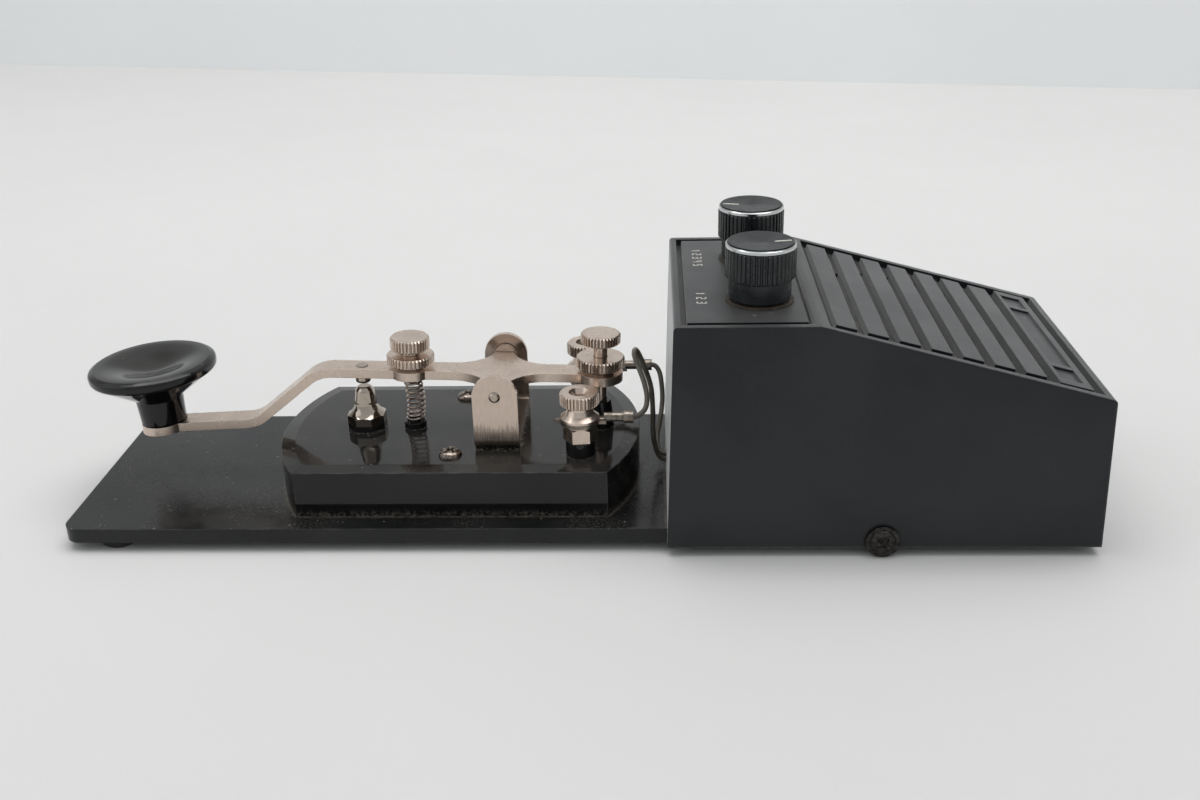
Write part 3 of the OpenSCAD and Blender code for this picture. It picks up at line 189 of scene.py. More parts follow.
def relief(tree, place, shader, grain_mm, height_mm, edge_mm, stretch=(1, 1, 1), detail=2.0):
    """Grain of the surface and softly broken edges, as the shader's normal. Returns the node of the edges."""
    grown = add(tree, "Mapping", {"Vector": place.outputs["Object"], "Scale": stretch})
    scale = 1 / (grain_mm * MM)
    grain = add(tree, "TexNoise", {"Vector": grown.outputs[0], "Scale": scale, "Detail": detail})
    edge = add(tree, "Bevel", {"Radius": edge_mm * MM}, samples=4)
    height = {"Height": grain.outputs[0], "Distance": height_mm * MM, "Strength": 1.0}
    bump = add(tree, "Bump", {**height, "Normal": edge.outputs[0]})
    tree.links.new(bump.outputs[0], shader.inputs["Normal"])
    return edge


def joined(tree, operation, *masks):
    """Several masks as one, kept between nothing and one. MAXIMUM takes the strongest, MULTIPLY what they
    share, and SUBTRACT takes the later ones from the first."""
    whole = masks[0]
    for mask in masks[1:]:
        whole = add(tree, "Math", {0: whole, 1: mask}, operation=operation, use_clamp=True).outputs[0]
    return whole


def upward(tree, place, low=0.55, high=0.95):
    """One on faces that look up, nothing on the others."""
    parts = add(tree, "SeparateXYZ", {0: place.outputs["Normal"]})
    return add(tree, "MapRange", {"Value": parts.outputs[2], "From Min": low, "From Max": high}).outputs[0]


def edge_lines(tree, edge, starts, full):
    """One where the broken edge turns away from the flat faces, nothing on the faces."""
    flat = add(tree, "NewGeometry").outputs["True Normal"]
    lean = add(tree, "VectorMath", {0: edge.outputs[0], 1: flat}, operation="DOT_PRODUCT").outputs["Value"]
    return add(tree, "MapRange", {"Value": lean, "From Min": starts, "From Max": full}).outputs[0]


def crevices(tree, reach_mm, most=1.0):
    """Where other faces stand close by, as round a rivet or under a nut: most there, nothing in the open."""
    open_sky, little_sky = 0.92, 0.45
    sky = add(tree, "AmbientOcclusion", {"Distance": reach_mm * MM}, samples=8)
    limits = {"From Min": open_sky, "From Max": little_sky, "To Max": most}
    return add(tree, "MapRange", {"Value": sky.outputs["AO"], **limits}).outputs[0]


def fine_dust(tree, place, most):
    """Fine loose dust in soft drifts: grains a quarter of a millimetre across, thicker in some places."""
    grains = patches(tree, place, 0.28, -0.9, 1.0, detail=2)
    return joined(tree, "MULTIPLY", grains, patches(tree, place, 14, 0.12 * most, most, detail=1))


def specks(tree, place, size_mm, share):
    """Single specks of dust or lint, size_mm apart, in a share of the places."""
    cells = add(tree, "TexVoronoi", {"Vector": place.outputs["Object"], "Scale": 1 / (size_mm * MM)})
    # A speck is whole out to the first share of its cell's size and gone at the second
    whole, gone = 0.08, 0.16
    near = add(tree, "MapRange", {"Value": cells.outputs["Distance"], "From Min": gone, "From Max": whole})
    chance = add(tree, "SeparateColor", {0: cells.outputs["Color"]})
    there = add(tree, "Math", {0: chance.outputs[0], 1: 1 - share}, operation="GREATER_THAN")
    return joined(tree, "MULTIPLY", near.outputs[0], there.outputs[0])


def finish(tree, shader, base, second, where, roughness, mask=None, dust_and_painted_light=None, dust_and_painted_light_roughness=0.9):
    """Links the colour, which goes from base to second by where, and the roughness. A mask lays a second
    colour over both: dust, painted shade, painted highlights and painted reflections, each where a finish
    asks for it. A Mix node takes its colours at sockets 6 and 7, and its numbers at 2 and 3."""
    colour = add(tree, "Mix", {0: where, 6: base, 7: second}, data_type="RGBA").outputs[2]
    if mask is not None:
        colour = add(tree, "Mix", {0: mask, 6: colour, 7: dust_and_painted_light}, data_type="RGBA").outputs[2]
        roughness = add(tree, "Mix", {0: mask, 2: roughness, 3: dust_and_painted_light_roughness}, data_type="FLOAT").outputs[0]
    tree.links.new(colour, shader.inputs["Base Color"])
    tree.links.new(roughness, shader.inputs["Roughness"])


def lighter(colour, share):
    """The colour mixed with white by a share, or with black by a negative share."""
    target = 1.0 if share > 0 else 0.0
    return tuple(c + (target - c) * abs(share) for c in colour[:3]) + (1.0,)


def baked_enamel(colours):
    """Black enamel sprayed and baked on sheet steel: a satin skin with slight orange peel, and a pale painted
    highlight along its edges. Fine dust lies on it in soft drifts with a few pale specks, and is packed along
    the foot of the key base."""
    material, tree, shader, place = start("baked_enamel", ior=1.4)
    edge = relief(tree, place, shader, grain_mm=1.1, height_mm=0.006, edge_mm=0.4)
    up = upward(tree, place)
    lint = joined(tree, "MAXIMUM", specks(tree, place, 2.2, 0.14), specks(tree, place, 1.1, 0.14))
    lint = joined(tree, "MULTIPLY", lint, 0.6)
    packed = joined(tree, "MULTIPLY", crevices(tree, 1.2), patches(tree, place, 1.6, 0.2, 0.6))
    loose = patches(tree, place, 0.35, -0.2, 0.16, detail=2)
    near = joined(tree, "MULTIPLY", crevices(tree, 7, 0.5), loose)
    lying = joined(tree, "MAXIMUM", fine_dust(tree, place, 0.14), lint, packed, near)
    # A pale line along the edges, uneven in strength, is a painted highlight in the dust colour
    uneven = patches(tree, place, 6, 0.02, 0.2, detail=4)
    edge_highlight = joined(tree, "MULTIPLY", edge_lines(tree, edge, 0.99, 0.9), uneven)
    mask = joined(tree, "MAXIMUM", joined(tree, "MULTIPLY", lying, up), edge_highlight)
    rough = patches(tree, place, 9, 0.17, 0.24)
    where = patches(tree, place, 25, 0.0, 1.0)
    finish(tree, shader, colours.enamel, lighter(colours.enamel, 0.006), where, rough, mask, colours.dust_and_painted_light)
    return material


def moulded_rubber():
    """Black rubber pressed in a steel mould: dull, with faint grey patches."""
    material, tree, shader, place = start("moulded_rubber", ior=1.52)
    relief(tree, place, shader, grain_mm=0.3, height_mm=0.02, edge_mm=0.3)
    rough = patches(tree, place, 2, 0.7, 0.85)
    where = patches(tree, place, 1.5, 0.0, 1.0)
    finish(tree, shader, linear("#161616"), linear("#232220"), where, rough)
    return material


def sparked_abs(colours):
    """Black ABS moulded in a spark-eroded tool: an even matte grain that turns grey where light falls along
    it. Brown dust has settled in the grooves, and a pale painted reflection lies on the end wall."""
    slat_edge_mm, outer_edge_mm = 0.3, 0.9
    material, tree, shader, place = start("sparked_abs", ior=1.42)
    edge = relief(tree, place, shader, grain_mm=0.35, height_mm=0.02, edge_mm=slat_edge_mm, detail=1.0)
    parts = add(tree, "SeparateXYZ", {0: place.outputs["Object"]})
    # Height of the roof above each point: flat up to the knee, then falling with the slope
    past = add(tree, "Math", {0: parts.outputs[0], 1: KNEE_X}, operation="SUBTRACT")
    past = add(tree, "Math", {0: past.outputs[0], 1: 0.0}, operation="MAXIMUM")
    fall = add(tree, "Math", {0: past.outputs[0], 1: math.tan(SLOPE)}, operation="MULTIPLY")
    roof = add(tree, "Math", {0: PANEL_TOP, 1: fall.outputs[0]}, operation="SUBTRACT")
    depth = add(tree, "Math", {0: roof.outputs[0], 1: parts.outputs[2]}, operation="SUBTRACT").outputs[0]
    half_width = add(tree, "Math", {0: parts.outputs[1]}, operation="ABSOLUTE").outputs[0]
    # Dust fills the lower part of the grooves, which run inside the rim of the roof
    dust_starts, dust_full, groove_floor, rim_width = 0.7 * MM, 1.45 * MM, 2.2 * MM, 2.6 * MM
    sunk = add(tree, "MapRange", {"Value": depth, "From Min": dust_starts, "From Max": dust_full}).outputs[0]
    not_deep = add(tree, "Math", {0: depth, 1: groove_floor}, operation="LESS_THAN").outputs[0]
    within = add(tree, "Math", {0: half_width, 1: CASE_HIGH.y - rim_width}, operation="LESS_THAN").outputs[0]
    uneven = patches(tree, place, 2.4, -0.05, 0.3, detail=5)
    groove = joined(tree, "MULTIPLY", sunk, not_deep, within, uneven)
    # The tool's outer corners are rounder than the edges of the slats
    corner_starts, corner_full = CASE_HIGH.y - 1.8 * MM, CASE_HIGH.y - 1.2 * MM
    rounder = add(
        tree, "MapRange",
        {
            "Value": half_width, "From Min": corner_starts, "From Max": corner_full,
            "To Min": slat_edge_mm * MM, "To Max": outer_edge_mm * MM,
        },
    )
    tree.links.new(rounder.outputs[0], edge.inputs["Radius"])
    up = upward(tree, place, 0.7, 0.99)
    film = joined(tree, "MULTIPLY", up, patches(tree, place, 14, 0.03, 0.08, detail=5))
    lint = joined(tree, "MULTIPLY", specks(tree, place, 3.4, 0.16), up, 0.6)
    mask = joined(tree, "MAXIMUM", film, lint, groove)
    rough = patches(tree, place, 12, 0.36, 0.44)
    # The grain and its dust catch light that falls along the faces
    shader.inputs["Sheen Weight"].default_value = 0.42
    shader.inputs["Sheen Roughness"].default_value = 0.35
    # The end wall is painted pale grey in patches: a painted reflection of the bright surroundings, seen at a
    # grazing angle
    facing = add(tree, "SeparateXYZ", {0: add(tree, "NewGeometry").outputs["Normal"]})
    end_wall = add(tree, "MapRange", {"Value": facing.outputs[0], "From Min": -0.85, "From Max": -0.98})
    pale = joined(tree, "MULTIPLY", end_wall.outputs[0], patches(tree, place, 16, 0.12, 0.22, detail=5))
    pale = joined(tree, "MAXIMUM", patches(tree, place, 30, 0.0, 0.03), pale)
    finish(tree, shader, colours.case, linear("#8f928f"), pale, rough, mask, colours.crevice_colour)
    return material


def polished_bakelite(colours, name="polished_bakelite", base=False):
    """Black phenolic resin pressed and buffed: deep gloss with faint smears. The key base also has a pale
    painted highlight along its edges, and dust clings to the foot of its walls and to its rounded ends."""
    material, tree, shader, place = start(name, ior=1.41)
    edge = relief(tree, place, shader, grain_mm=7, height_mm=0.008, edge_mm=0.4)
    film = patches(tree, place, 11, 0.01, 0.06, detail=5)
    lint = joined(tree, "MULTIPLY", specks(tree, place, 1.7, 0.14), 0.35)
    mask = joined(tree, "MULTIPLY", joined(tree, "MAXIMUM", film, lint), upward(tree, place))
    if base:
        # A pale line along the edges of the key base is a painted highlight
        uneven = patches(tree, place, 4, 0.0, 0.3, detail=4)
        edge_highlight = joined(tree, "MULTIPLY", edge_lines(tree, edge, 0.999, 0.97), uneven)
        caked = joined(tree, "MULTIPLY", crevices(tree, 2.2), patches(tree, place, 0.7, -0.1, 0.5, detail=4))
        # The two rounded ends carry more dust than the long walls
        end_length, tip_length = 9 * MM, 1 * MM
        middle, half = (BASE_LOW.x + BASE_HIGH.x) / 2, (BASE_HIGH.x - BASE_LOW.x) / 2
        parts = add(tree, "SeparateXYZ", {0: place.outputs["Object"]})
        along = add(tree, "Math", {0: parts.outputs[0], 1: middle}, operation="SUBTRACT")
        along = add(tree, "Math", {0: along.outputs[0]}, operation="ABSOLUTE")
        limits = {"From Min": half - end_length, "From Max": half - tip_length}
        ends = add(tree, "MapRange", {"Value": along.outputs[0], **limits})
        blotches = patches(tree, place, 1.6, -0.12, 0.15, detail=5, stretch=(1, 1, 0.6))
        ends = joined(tree, "MULTIPLY", ends.outputs[0], blotches)
        mask = joined(tree, "MAXIMUM", mask, edge_highlight, caked, ends)
    rough = patches(tree, place, 7, 0.05, 0.1, detail=4)
    second, where = lighter(colours.bakelite, 0.006), patches(tree, place, 20, 0.0, 1.0)
    finish(tree, shader, colours.bakelite, second, where, rough, mask, colours.dust_and_painted_light, dust_and_painted_light_roughness=0.6)
    return material


def satin_nickel(colours, name="satin_nickel", tone=0.0, rough=(0.27, 0.3), stretch=(1, 1, 1), brushed_with_reflection=False):
    """Nickel plate over tumbled stampings: a warm even satin, with darker flecks on every face that does not
    look up, partly the duller cut sides and partly painted shade, and painted brown shade round the rivets.
    The bracket is brushed, with a dark, streaky painted reflection of the black key base low on its ears."""
    material, tree, shader, place = start(name, metallic=1.0)
    base = lighter(colours.nickel, tone)
    relief(tree, place, shader, grain_mm=0.4, height_mm=0.0012, edge_mm=0.14, stretch=stretch)
    # Painted brown shade where other faces stand close, as round the rivets
    mask = crevices(tree, 0.45, 0.85)
    if brushed_with_reflection:
        # A painted reflection of the black key base: darker in ragged bands towards the foot of the ears
        ragged_edge, reflection_full, reflection_end = 1.6 * MM, BASE_HIGH.z + 2.4 * MM, BASE_HIGH.z + 5.6 * MM
        where = patches(tree, place, 0.5, 0.0, 0.4, stretch=(3, 3, 0.25))
        parts = add(tree, "SeparateXYZ", {0: place.outputs["Object"]})
        ragged = patches(tree, place, 0.5, -ragged_edge, ragged_edge, stretch=(2, 2, 0.1))
        height = add(tree, "Math", {0: parts.outputs[2], 1: ragged}, operation="ADD")
        limits = {"From Min": reflection_full, "From Max": reflection_end, "To Min": 0.6, "To Max": 0.0}
        low = add(tree, "MapRange", {"Value": height.outputs[0], **limits})
        mask = joined(tree, "MAXIMUM", mask, low.outputs[0])
    else:
        # Faces that do not look up are darker in flecks: partly the duller cut sides, partly painted shade
        sheared_and_shaded = joined(tree, "SUBTRACT", 1.0, upward(tree, place, 0.3, 0.8))
        flecks = joined(tree, "MULTIPLY", sheared_and_shaded, patches(tree, place, 0.9, 0.05, 0.25))
        where = joined(tree, "MAXIMUM", patches(tree, place, 6, 0.0, 0.25), flecks)
    uneven, crevice_colour = patches(tree, place, 1.8, *rough), linear("#3a322b")
    finish(tree, shader, base, lighter(base, -0.35), where, uneven, mask, crevice_colour, dust_and_painted_light_roughness=0.45)
    return material


def turned_nickel(colours):
    """Nickel plate over turned and knurled brass: clean and warm, with painted brown shade only where two
    pieces meet.
    """
    material, tree, shader, place = start("turned_nickel", metallic=1.0)
    relief(tree, place, shader, grain_mm=0.3, height_mm=0.001, edge_mm=0.05)
    first, second = lighter(colours.nickel, 0.03), lighter(colours.nickel, -0.12)
    where, rough = patches(tree, place, 4, 0.0, 1.0), patches(tree, place, 3, 0.22, 0.28)
    # Painted brown shade where two pieces meet
    mask, crevice_colour = crevices(tree, 0.35, 0.6), linear("#4a3f36")
    finish(tree, shader, first, second, where, rough, mask, crevice_colour, dust_and_painted_light_roughness=0.45)
    return material


def polished_nickel(colours):
    """Nickel plate buffed bright: it mirrors the plate and the table, with slight haze."""
    material, tree, shader, place = start("polished_nickel", metallic=1.0)
    relief(tree, place, shader, grain_mm=0.8, height_mm=0.002, edge_mm=0.12)
    first, second = colours.bright_nickel, lighter(colours.bright_nickel, -0.1)
    where, rough = patches(tree, place, 2.5, 0.0, 1.0), patches(tree, place, 1.6, 0.03, 0.07)
    # Painted brown shade where other faces stand close
    mask, crevice_colour = crevices(tree, 0.4, 0.6), linear("#3a322b")
    finish(tree, shader, first, second, where, rough, mask, crevice_colour, dust_and_painted_light_roughness=0.4)
    return material


def handled_screws(colours):
    """Nickel plate on screws that have been turned often: dull and dark, with bright scuffs, and painted
    shade in the cross recesses.
    """
    material, tree, shader, place = start("handled_screws", metallic=1.0)
    relief(tree, place, shader, grain_mm=0.3, height_mm=0.01, edge_mm=0.12, detail=4)
    dark, bright = lighter(colours.nickel, -0.8), lighter(colours.nickel, -0.3)
    where, rough = patches(tree, place, 0.45, -0.5, 0.6, detail=4), patches(tree, place, 0.7, 0.2, 0.32)
    # Painted shade, nearly black, in the cross recesses and where the heads meet the faces below
    mask, crevice_colour = crevices(tree, 0.8), linear("#16130f")
    finish(tree, shader, dark, bright, where, rough, mask, crevice_colour, dust_and_painted_light_roughness=0.5)
    return material


def tinned_lug():
    """Tin over punched brass lugs, dulled and grey, with painted shade in the folds of the crimps."""
    material, tree, shader, place = start("tinned_lug", metallic=1.0)
    relief(tree, place, shader, grain_mm=0.4, height_mm=0.006, edge_mm=0.1)
    where, rough = patches(tree, place, 0.9, 0.0, 1.0, detail=4), patches(tree, place, 0.8, 0.3, 0.4)
    # Painted dark shade in the folds of the crimps
    mask, crevice_colour = crevices(tree, 0.4, 0.8), linear("#2b2520")
    finish(tree, shader, linear("#91887e"), linear("#6a6259"), where, rough, mask, crevice_colour, dust_and_painted_light_roughness=0.6)
    return material


def drawn_wire(colours):
    """Spring wire drawn and nickelled: a dull shine, with darker patches about a millimetre long."""
    material, tree, shader, place = start("drawn_wire", metallic=1.0)
    relief(tree, place, shader, grain_mm=0.3, height_mm=0.003, edge_mm=0.05)
    first, second = lighter(colours.nickel, -0.2), lighter(colours.nickel, -0.6)
    where, rough = patches(tree, place, 1.2, 0.0, 1.0, detail=5), patches(tree, place, 1.0, 0.18, 0.3)
    finish(tree, shader, first, second, where, rough)
    return material


def black_oxide():
    """Steel blackened in hot salts: almost black, with a soft oily shine and greyer patches."""
    material, tree, shader, place = start("black_oxide", metallic=1.0)
    relief(tree, place, shader, grain_mm=0.4, height_mm=0.01, edge_mm=0.12)
    where, rough = patches(tree, place, 0.9, 0.0, 1.0, detail=6), patches(tree, place, 0.8, 0.3, 0.5)
    finish(tree, shader, linear("#2c2b2a"), linear("#4a4845"), where, rough)
    return material


def aged_vinyl(colours):
    """Vinyl extruded over stranded wire: smooth, grey-brown with age, darker and glossier in places."""
    material, tree, shader, place = start("aged_vinyl", ior=1.53)
    relief(tree, place, shader, grain_mm=0.7, height_mm=0.02, edge_mm=0.05)
    where, rough = patches(tree, place, 3, 0.0, 1.0, detail=4), patches(tree, place, 2, 0.38, 0.55)
    finish(tree, shader, colours.lead, lighter(colours.lead, -0.35), where, rough)
    return material


def moulded_knob(colours):
    """Black styrene moulded with fine flutes: semi-matt, with small crisp highlights."""
    material, tree, shader, place = start("moulded_knob", ior=1.5)
    relief(tree, place, shader, grain_mm=0.5, height_mm=0.002, edge_mm=0.06)
    where, rough = patches(tree, place, 5, 0.0, 1.0), patches(tree, place, 4, 0.22, 0.3)
    finish(tree, shader, colours.knob, lighter(colours.knob, 0.01), where, rough)
    return material


def turned_cap(colours, name, centre, radius):
    """Aluminium cap, anodised black, then turned: a dark face with fine rings and a bright cut rim."""
    rim_width, ring_depth, edge_radius = 0.22 * MM, 0.003 * MM, 0.08 * MM
    # The rings of the turning tool are coarser than the real ones so that they show
    ring_pitch = 0.25 * MM
    material, tree, shader, place = start(name, metallic=1.0)
    middle = (centre.x, centre.y, 0)
    moved = add(tree, "VectorMath", {0: place.outputs["Object"], 1: middle}, operation="SUBTRACT")
    flat = add(tree, "VectorMath", {0: moved.outputs[0], 1: (1, 1, 0)}, operation="MULTIPLY")
    far = add(tree, "VectorMath", {0: flat.outputs[0]}, operation="LENGTH").outputs["Value"]
    rim = add(tree, "Math", {0: far, 1: radius - rim_width}, operation="GREATER_THAN").outputs[0]
    rings = add(tree, "Math", {0: far, 1: 2 * math.pi / ring_pitch}, operation="MULTIPLY")
    rings = add(tree, "Math", {0: rings.outputs[0]}, operation="SINE")
    edge = add(tree, "Bevel", {"Radius": edge_radius}, samples=4)
    height = {"Height": rings.outputs[0], "Distance": ring_depth, "Strength": 1.0}
    bump = add(tree, "Bump", {**height, "Normal": edge.outputs[0]})
    tree.links.new(bump.outputs[0], shader.inputs["Normal"])
    # The cut rim is smoother than the face
    smoother = joined(tree, "MULTIPLY", rim, 0.12)
    rough = joined(tree, "SUBTRACT", patches(tree, place, 2, 0.3, 0.36), smoother)
    finish(tree, shader, colours.anodised, colours.aluminium, rim, rough)
    return material


def printed_ink(colours):
    """Pale ink, screened on: flat, with darker patches where it has worn thin."""
    material, tree, shader, place = start("printed_ink", ior=1.5)
    relief(tree, place, shader, grain_mm=0.2, height_mm=0.004, edge_mm=0.03)
    where, rough = patches(tree, place, 0.5, 0.0, 1.0), patches(tree, place, 1, 0.5, 0.65)
    finish(tree, shader, colours.marks, lighter(colours.marks, -0.3), where, rough)
    return material


def vulcanised_fibre():
    """Vulcanised fibre punched from sheet: brown and dull, with short hairs of fibre and darker patches."""
    material, tree, shader, place = start("vulcanised_fibre", ior=1.5)
    relief(tree, place, shader, grain_mm=0.3, height_mm=0.02, edge_mm=0.1, stretch=(1, 4, 1))
    where, rough = patches(tree, place, 0.9, 0.0, 1.0, detail=6), patches(tree, place, 1, 0.6, 0.8)
    finish(tree, shader, linear("#4a4034"), linear("#2d2822"), where, rough)
    return material


def zinc_plate(colours):
    """Bright zinc on pressed steel: a cool grey, clouded in small patches."""
    material, tree, shader, place = start("zinc_plate", metallic=1.0)
    relief(tree, place, shader, grain_mm=0.7, height_mm=0.01, edge_mm=0.15)
    where, rough = patches(tree, place, 2.2, 0.0, 1.0, detail=5), patches(tree, place, 1.5, 0.28, 0.42)
    finish(tree, shader, colours.zinc, lighter(colours.zinc, -0.25), where, rough)
    return material


def solder_mask():
    """Green solder mask over copper on glass laminate: glossy, with the weave just showing through."""
    material, tree, shader, place = start("solder_mask", ior=1.5)
    relief(tree, place, shader, grain_mm=0.8, height_mm=0.015, edge_mm=0.1, stretch=(1, 3, 1))
    where, rough = patches(tree, place, 4, 0.0, 1.0, detail=1), patches(tree, place, 3, 0.2, 0.32)
    finish(tree, shader, linear("#1f4a2a"), linear("#2c5f38"), where, rough)
    return material


def plain(name, first, second, rough, patch_mm=2.0, grain_mm=0.5, height_mm=0.01, metallic=0.0):
    """A moulded, dipped or turned finish of a small inner part, with its colour and roughness uneven."""
    material, tree, shader, place = start(name, metallic=metallic, ior=None if metallic else 1.5)
    relief(tree, place, shader, grain_mm=grain_mm, height_mm=height_mm, edge_mm=0.1)
    where, uneven = patches(tree, place, patch_mm, 0.0, 1.0, detail=4), patches(tree, place, patch_mm, *rough)
    finish(tree, shader, linear(first), linear(second), where, uneven)
    return material


def coat(material, *names):
    """Gives CAD nodes their material."""
    for name in names:
        node = NODES[name]
        if not node.material_slots:
            node.data.materials.append(material)
        for place in node.material_slots:
            place.link = "OBJECT"
            place.material = material


def smoothed(points, step):
    """Points close together on a smooth curve through the given ones; its two ends are straight."""
    points = [Vector(p) for p in points]
    last = len(points) - 1
    made = []
    for i in range(last):
        a, b, c, d = points[max(i - 1, 0)], points[i], points[i + 1], points[min(i + 2, last)]
        count = max(1, math.ceil((c - b).length / step))
        for k in range(count):
            t = k / count
            if i in (0, last - 1):
                made.append(b.lerp(c, t))
            else:
                curve = 2 * b + (c - a) * t + (2 * a - 5 * b + 4 * c - d) * t * t
                curve += (3 * b - a - 3 * c + d) * t * t * t
                made.append(0.5 * curve)
    made.append(points[last])
    return made


def new_piece(name, vertices, faces, material, body, slot, smooth=True):
    """A mesh piece that rides on a CAD body."""
    mesh = bpy.data.meshes.new(name)
    mesh.from_pydata([tuple(v) for v in vertices], [], faces)
    mesh.validate()
    mesh.update()
    if smooth:
        mesh.shade_smooth()
    else:
        mesh.shade_flat()
    mesh.materials.append(material)
    piece = bpy.data.objects.new(name, mesh)
    bpy.context.scene.collection.objects.link(piece)
    if body:
        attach(piece, body)
    return piece


def tube(points, radius, sides):
    """Vertices and faces of a round tube along points, closed at both ends."""
    count = len(points)
    across = (points[1] - points[0]).orthogonal().normalized()
    vertices, faces = [], []
    for i, point in enumerate(points):
        along = (points[min(i + 1, count - 1)] - points[max(i - 1, 0)]).normalized()
        across = (across - along * across.dot(along)).normalized()
        up = along.cross(across)
        for k in range(sides):
            a = 2 * math.pi * k / sides
            vertices.append(point + (across * math.cos(a) + up * math.sin(a)) * radius)
    for i in range(count - 1):
        for k in range(sides):
            j = (k + 1) % sides
            faces.append((i * sides + k, i * sides + j, (i + 1) * sides + j, (i + 1) * sides + k))
    faces.append(tuple(reversed(range(sides))))
    faces.append(tuple(range((count - 1) * sides, count * sides)))
    return vertices, faces


def screw(foot, away, radius, tall, inside, shank_radius):
    """A pan head with a wide cross recess that stands on foot and looks away from it, and its shank. A square
    grid is drawn out to a disc, so that its lines follow the arms of the cross near the middle."""
    cells, shank_sides, overlap = 56, 24, 0.1 * MM
    deep, slant = 0.6 * tall, 0.12 * MM
    arm_half_width, arm_length, arm_run = 0.42 * MM, 1.6 * MM, 0.4 * MM
    across = away.orthogonal().normalized()
    other = away.cross(across)
    vertices, faces = [], []
    for row in range(cells + 1):
        for column in range(cells + 1):
            u, v = 2 * column / cells - 1, 2 * row / cells - 1
            x = radius * u * math.sqrt(1 - v * v / 2)
            y = radius * v * math.sqrt(1 - u * u / 2)
            far = min(1.0, math.hypot(x, y) / radius)
            recess = 0.0
            for beside, along in ((abs(x), abs(y)), (abs(y), abs(x))):
                side = min(1.0, max(0.0, (arm_half_width - beside) / slant))
                end = min(1.0, max(0.0, (arm_length - along) / arm_run))
                recess = max(recess, side * end)
            height = tall * math.sqrt(1 - far ** 3) - deep * recess
            vertices.append(foot + across * x + other * y + away * height)
    for row in range(cells):
        for column in range(cells):
            corner = row * (cells + 1) + column
            faces.append((corner, corner + 1, corner + cells + 2, corner + cells + 1))
    shank = tube([foot + away * overlap, foot - away * inside], shank_radius, shank_sides)
    return merged([(vertices, faces), shank])


def bar(start_point, end_point, width, height, up, bevel):
    """A flat bar with rounded ends and a small bevel round its top."""
    end_steps = 6
    along = (end_point - start_point).normalized()
    side = up.cross(along)
    outline = []
    for end, centre in ((-1, start_point), (1, end_point)):
        for k in range(end_steps + 1):
            a = math.pi * (k / end_steps - 0.5)
            outline.append((centre, along * end * math.cos(a) + side * end * math.sin(a)))
    rings = ((0.0, 0.0), (height - bevel, 0.0), (height, bevel))
    vertices, faces = [], []
    for level, inset in rings:
        for centre, way in outline:
            vertices.append(centre + way * (width / 2 - inset) + up * level)
    n = len(outline)
    for r in range(len(rings) - 1):
        for k in range(n):
            j = (k + 1) % n
            faces.append((r * n + k, r * n + j, (r + 1) * n + j, (r + 1) * n + k))
    faces.append(tuple(reversed(range(n))))
    faces.append(tuple(range((len(rings) - 1) * n, len(rings) * n)))
    return vertices, faces


def merged(parts):
    """Several pieces of mesh as one list of vertices and faces."""
    vertices, faces = [], []
    for some_vertices, some_faces in parts:
        faces += [tuple(i + len(vertices) for i in face) for face in some_faces]
        vertices += some_vertices
    return vertices, faces


class Step:
    """What the operators share: each makes its pieces from the sizes and colours of the panel."""

    bl_options = {"REGISTER", "UNDO"}

    def execute(self, context):
        self.make(context.scene.oscillator_sizes, context.scene.oscillator_colours)
        return {"FINISHED"}


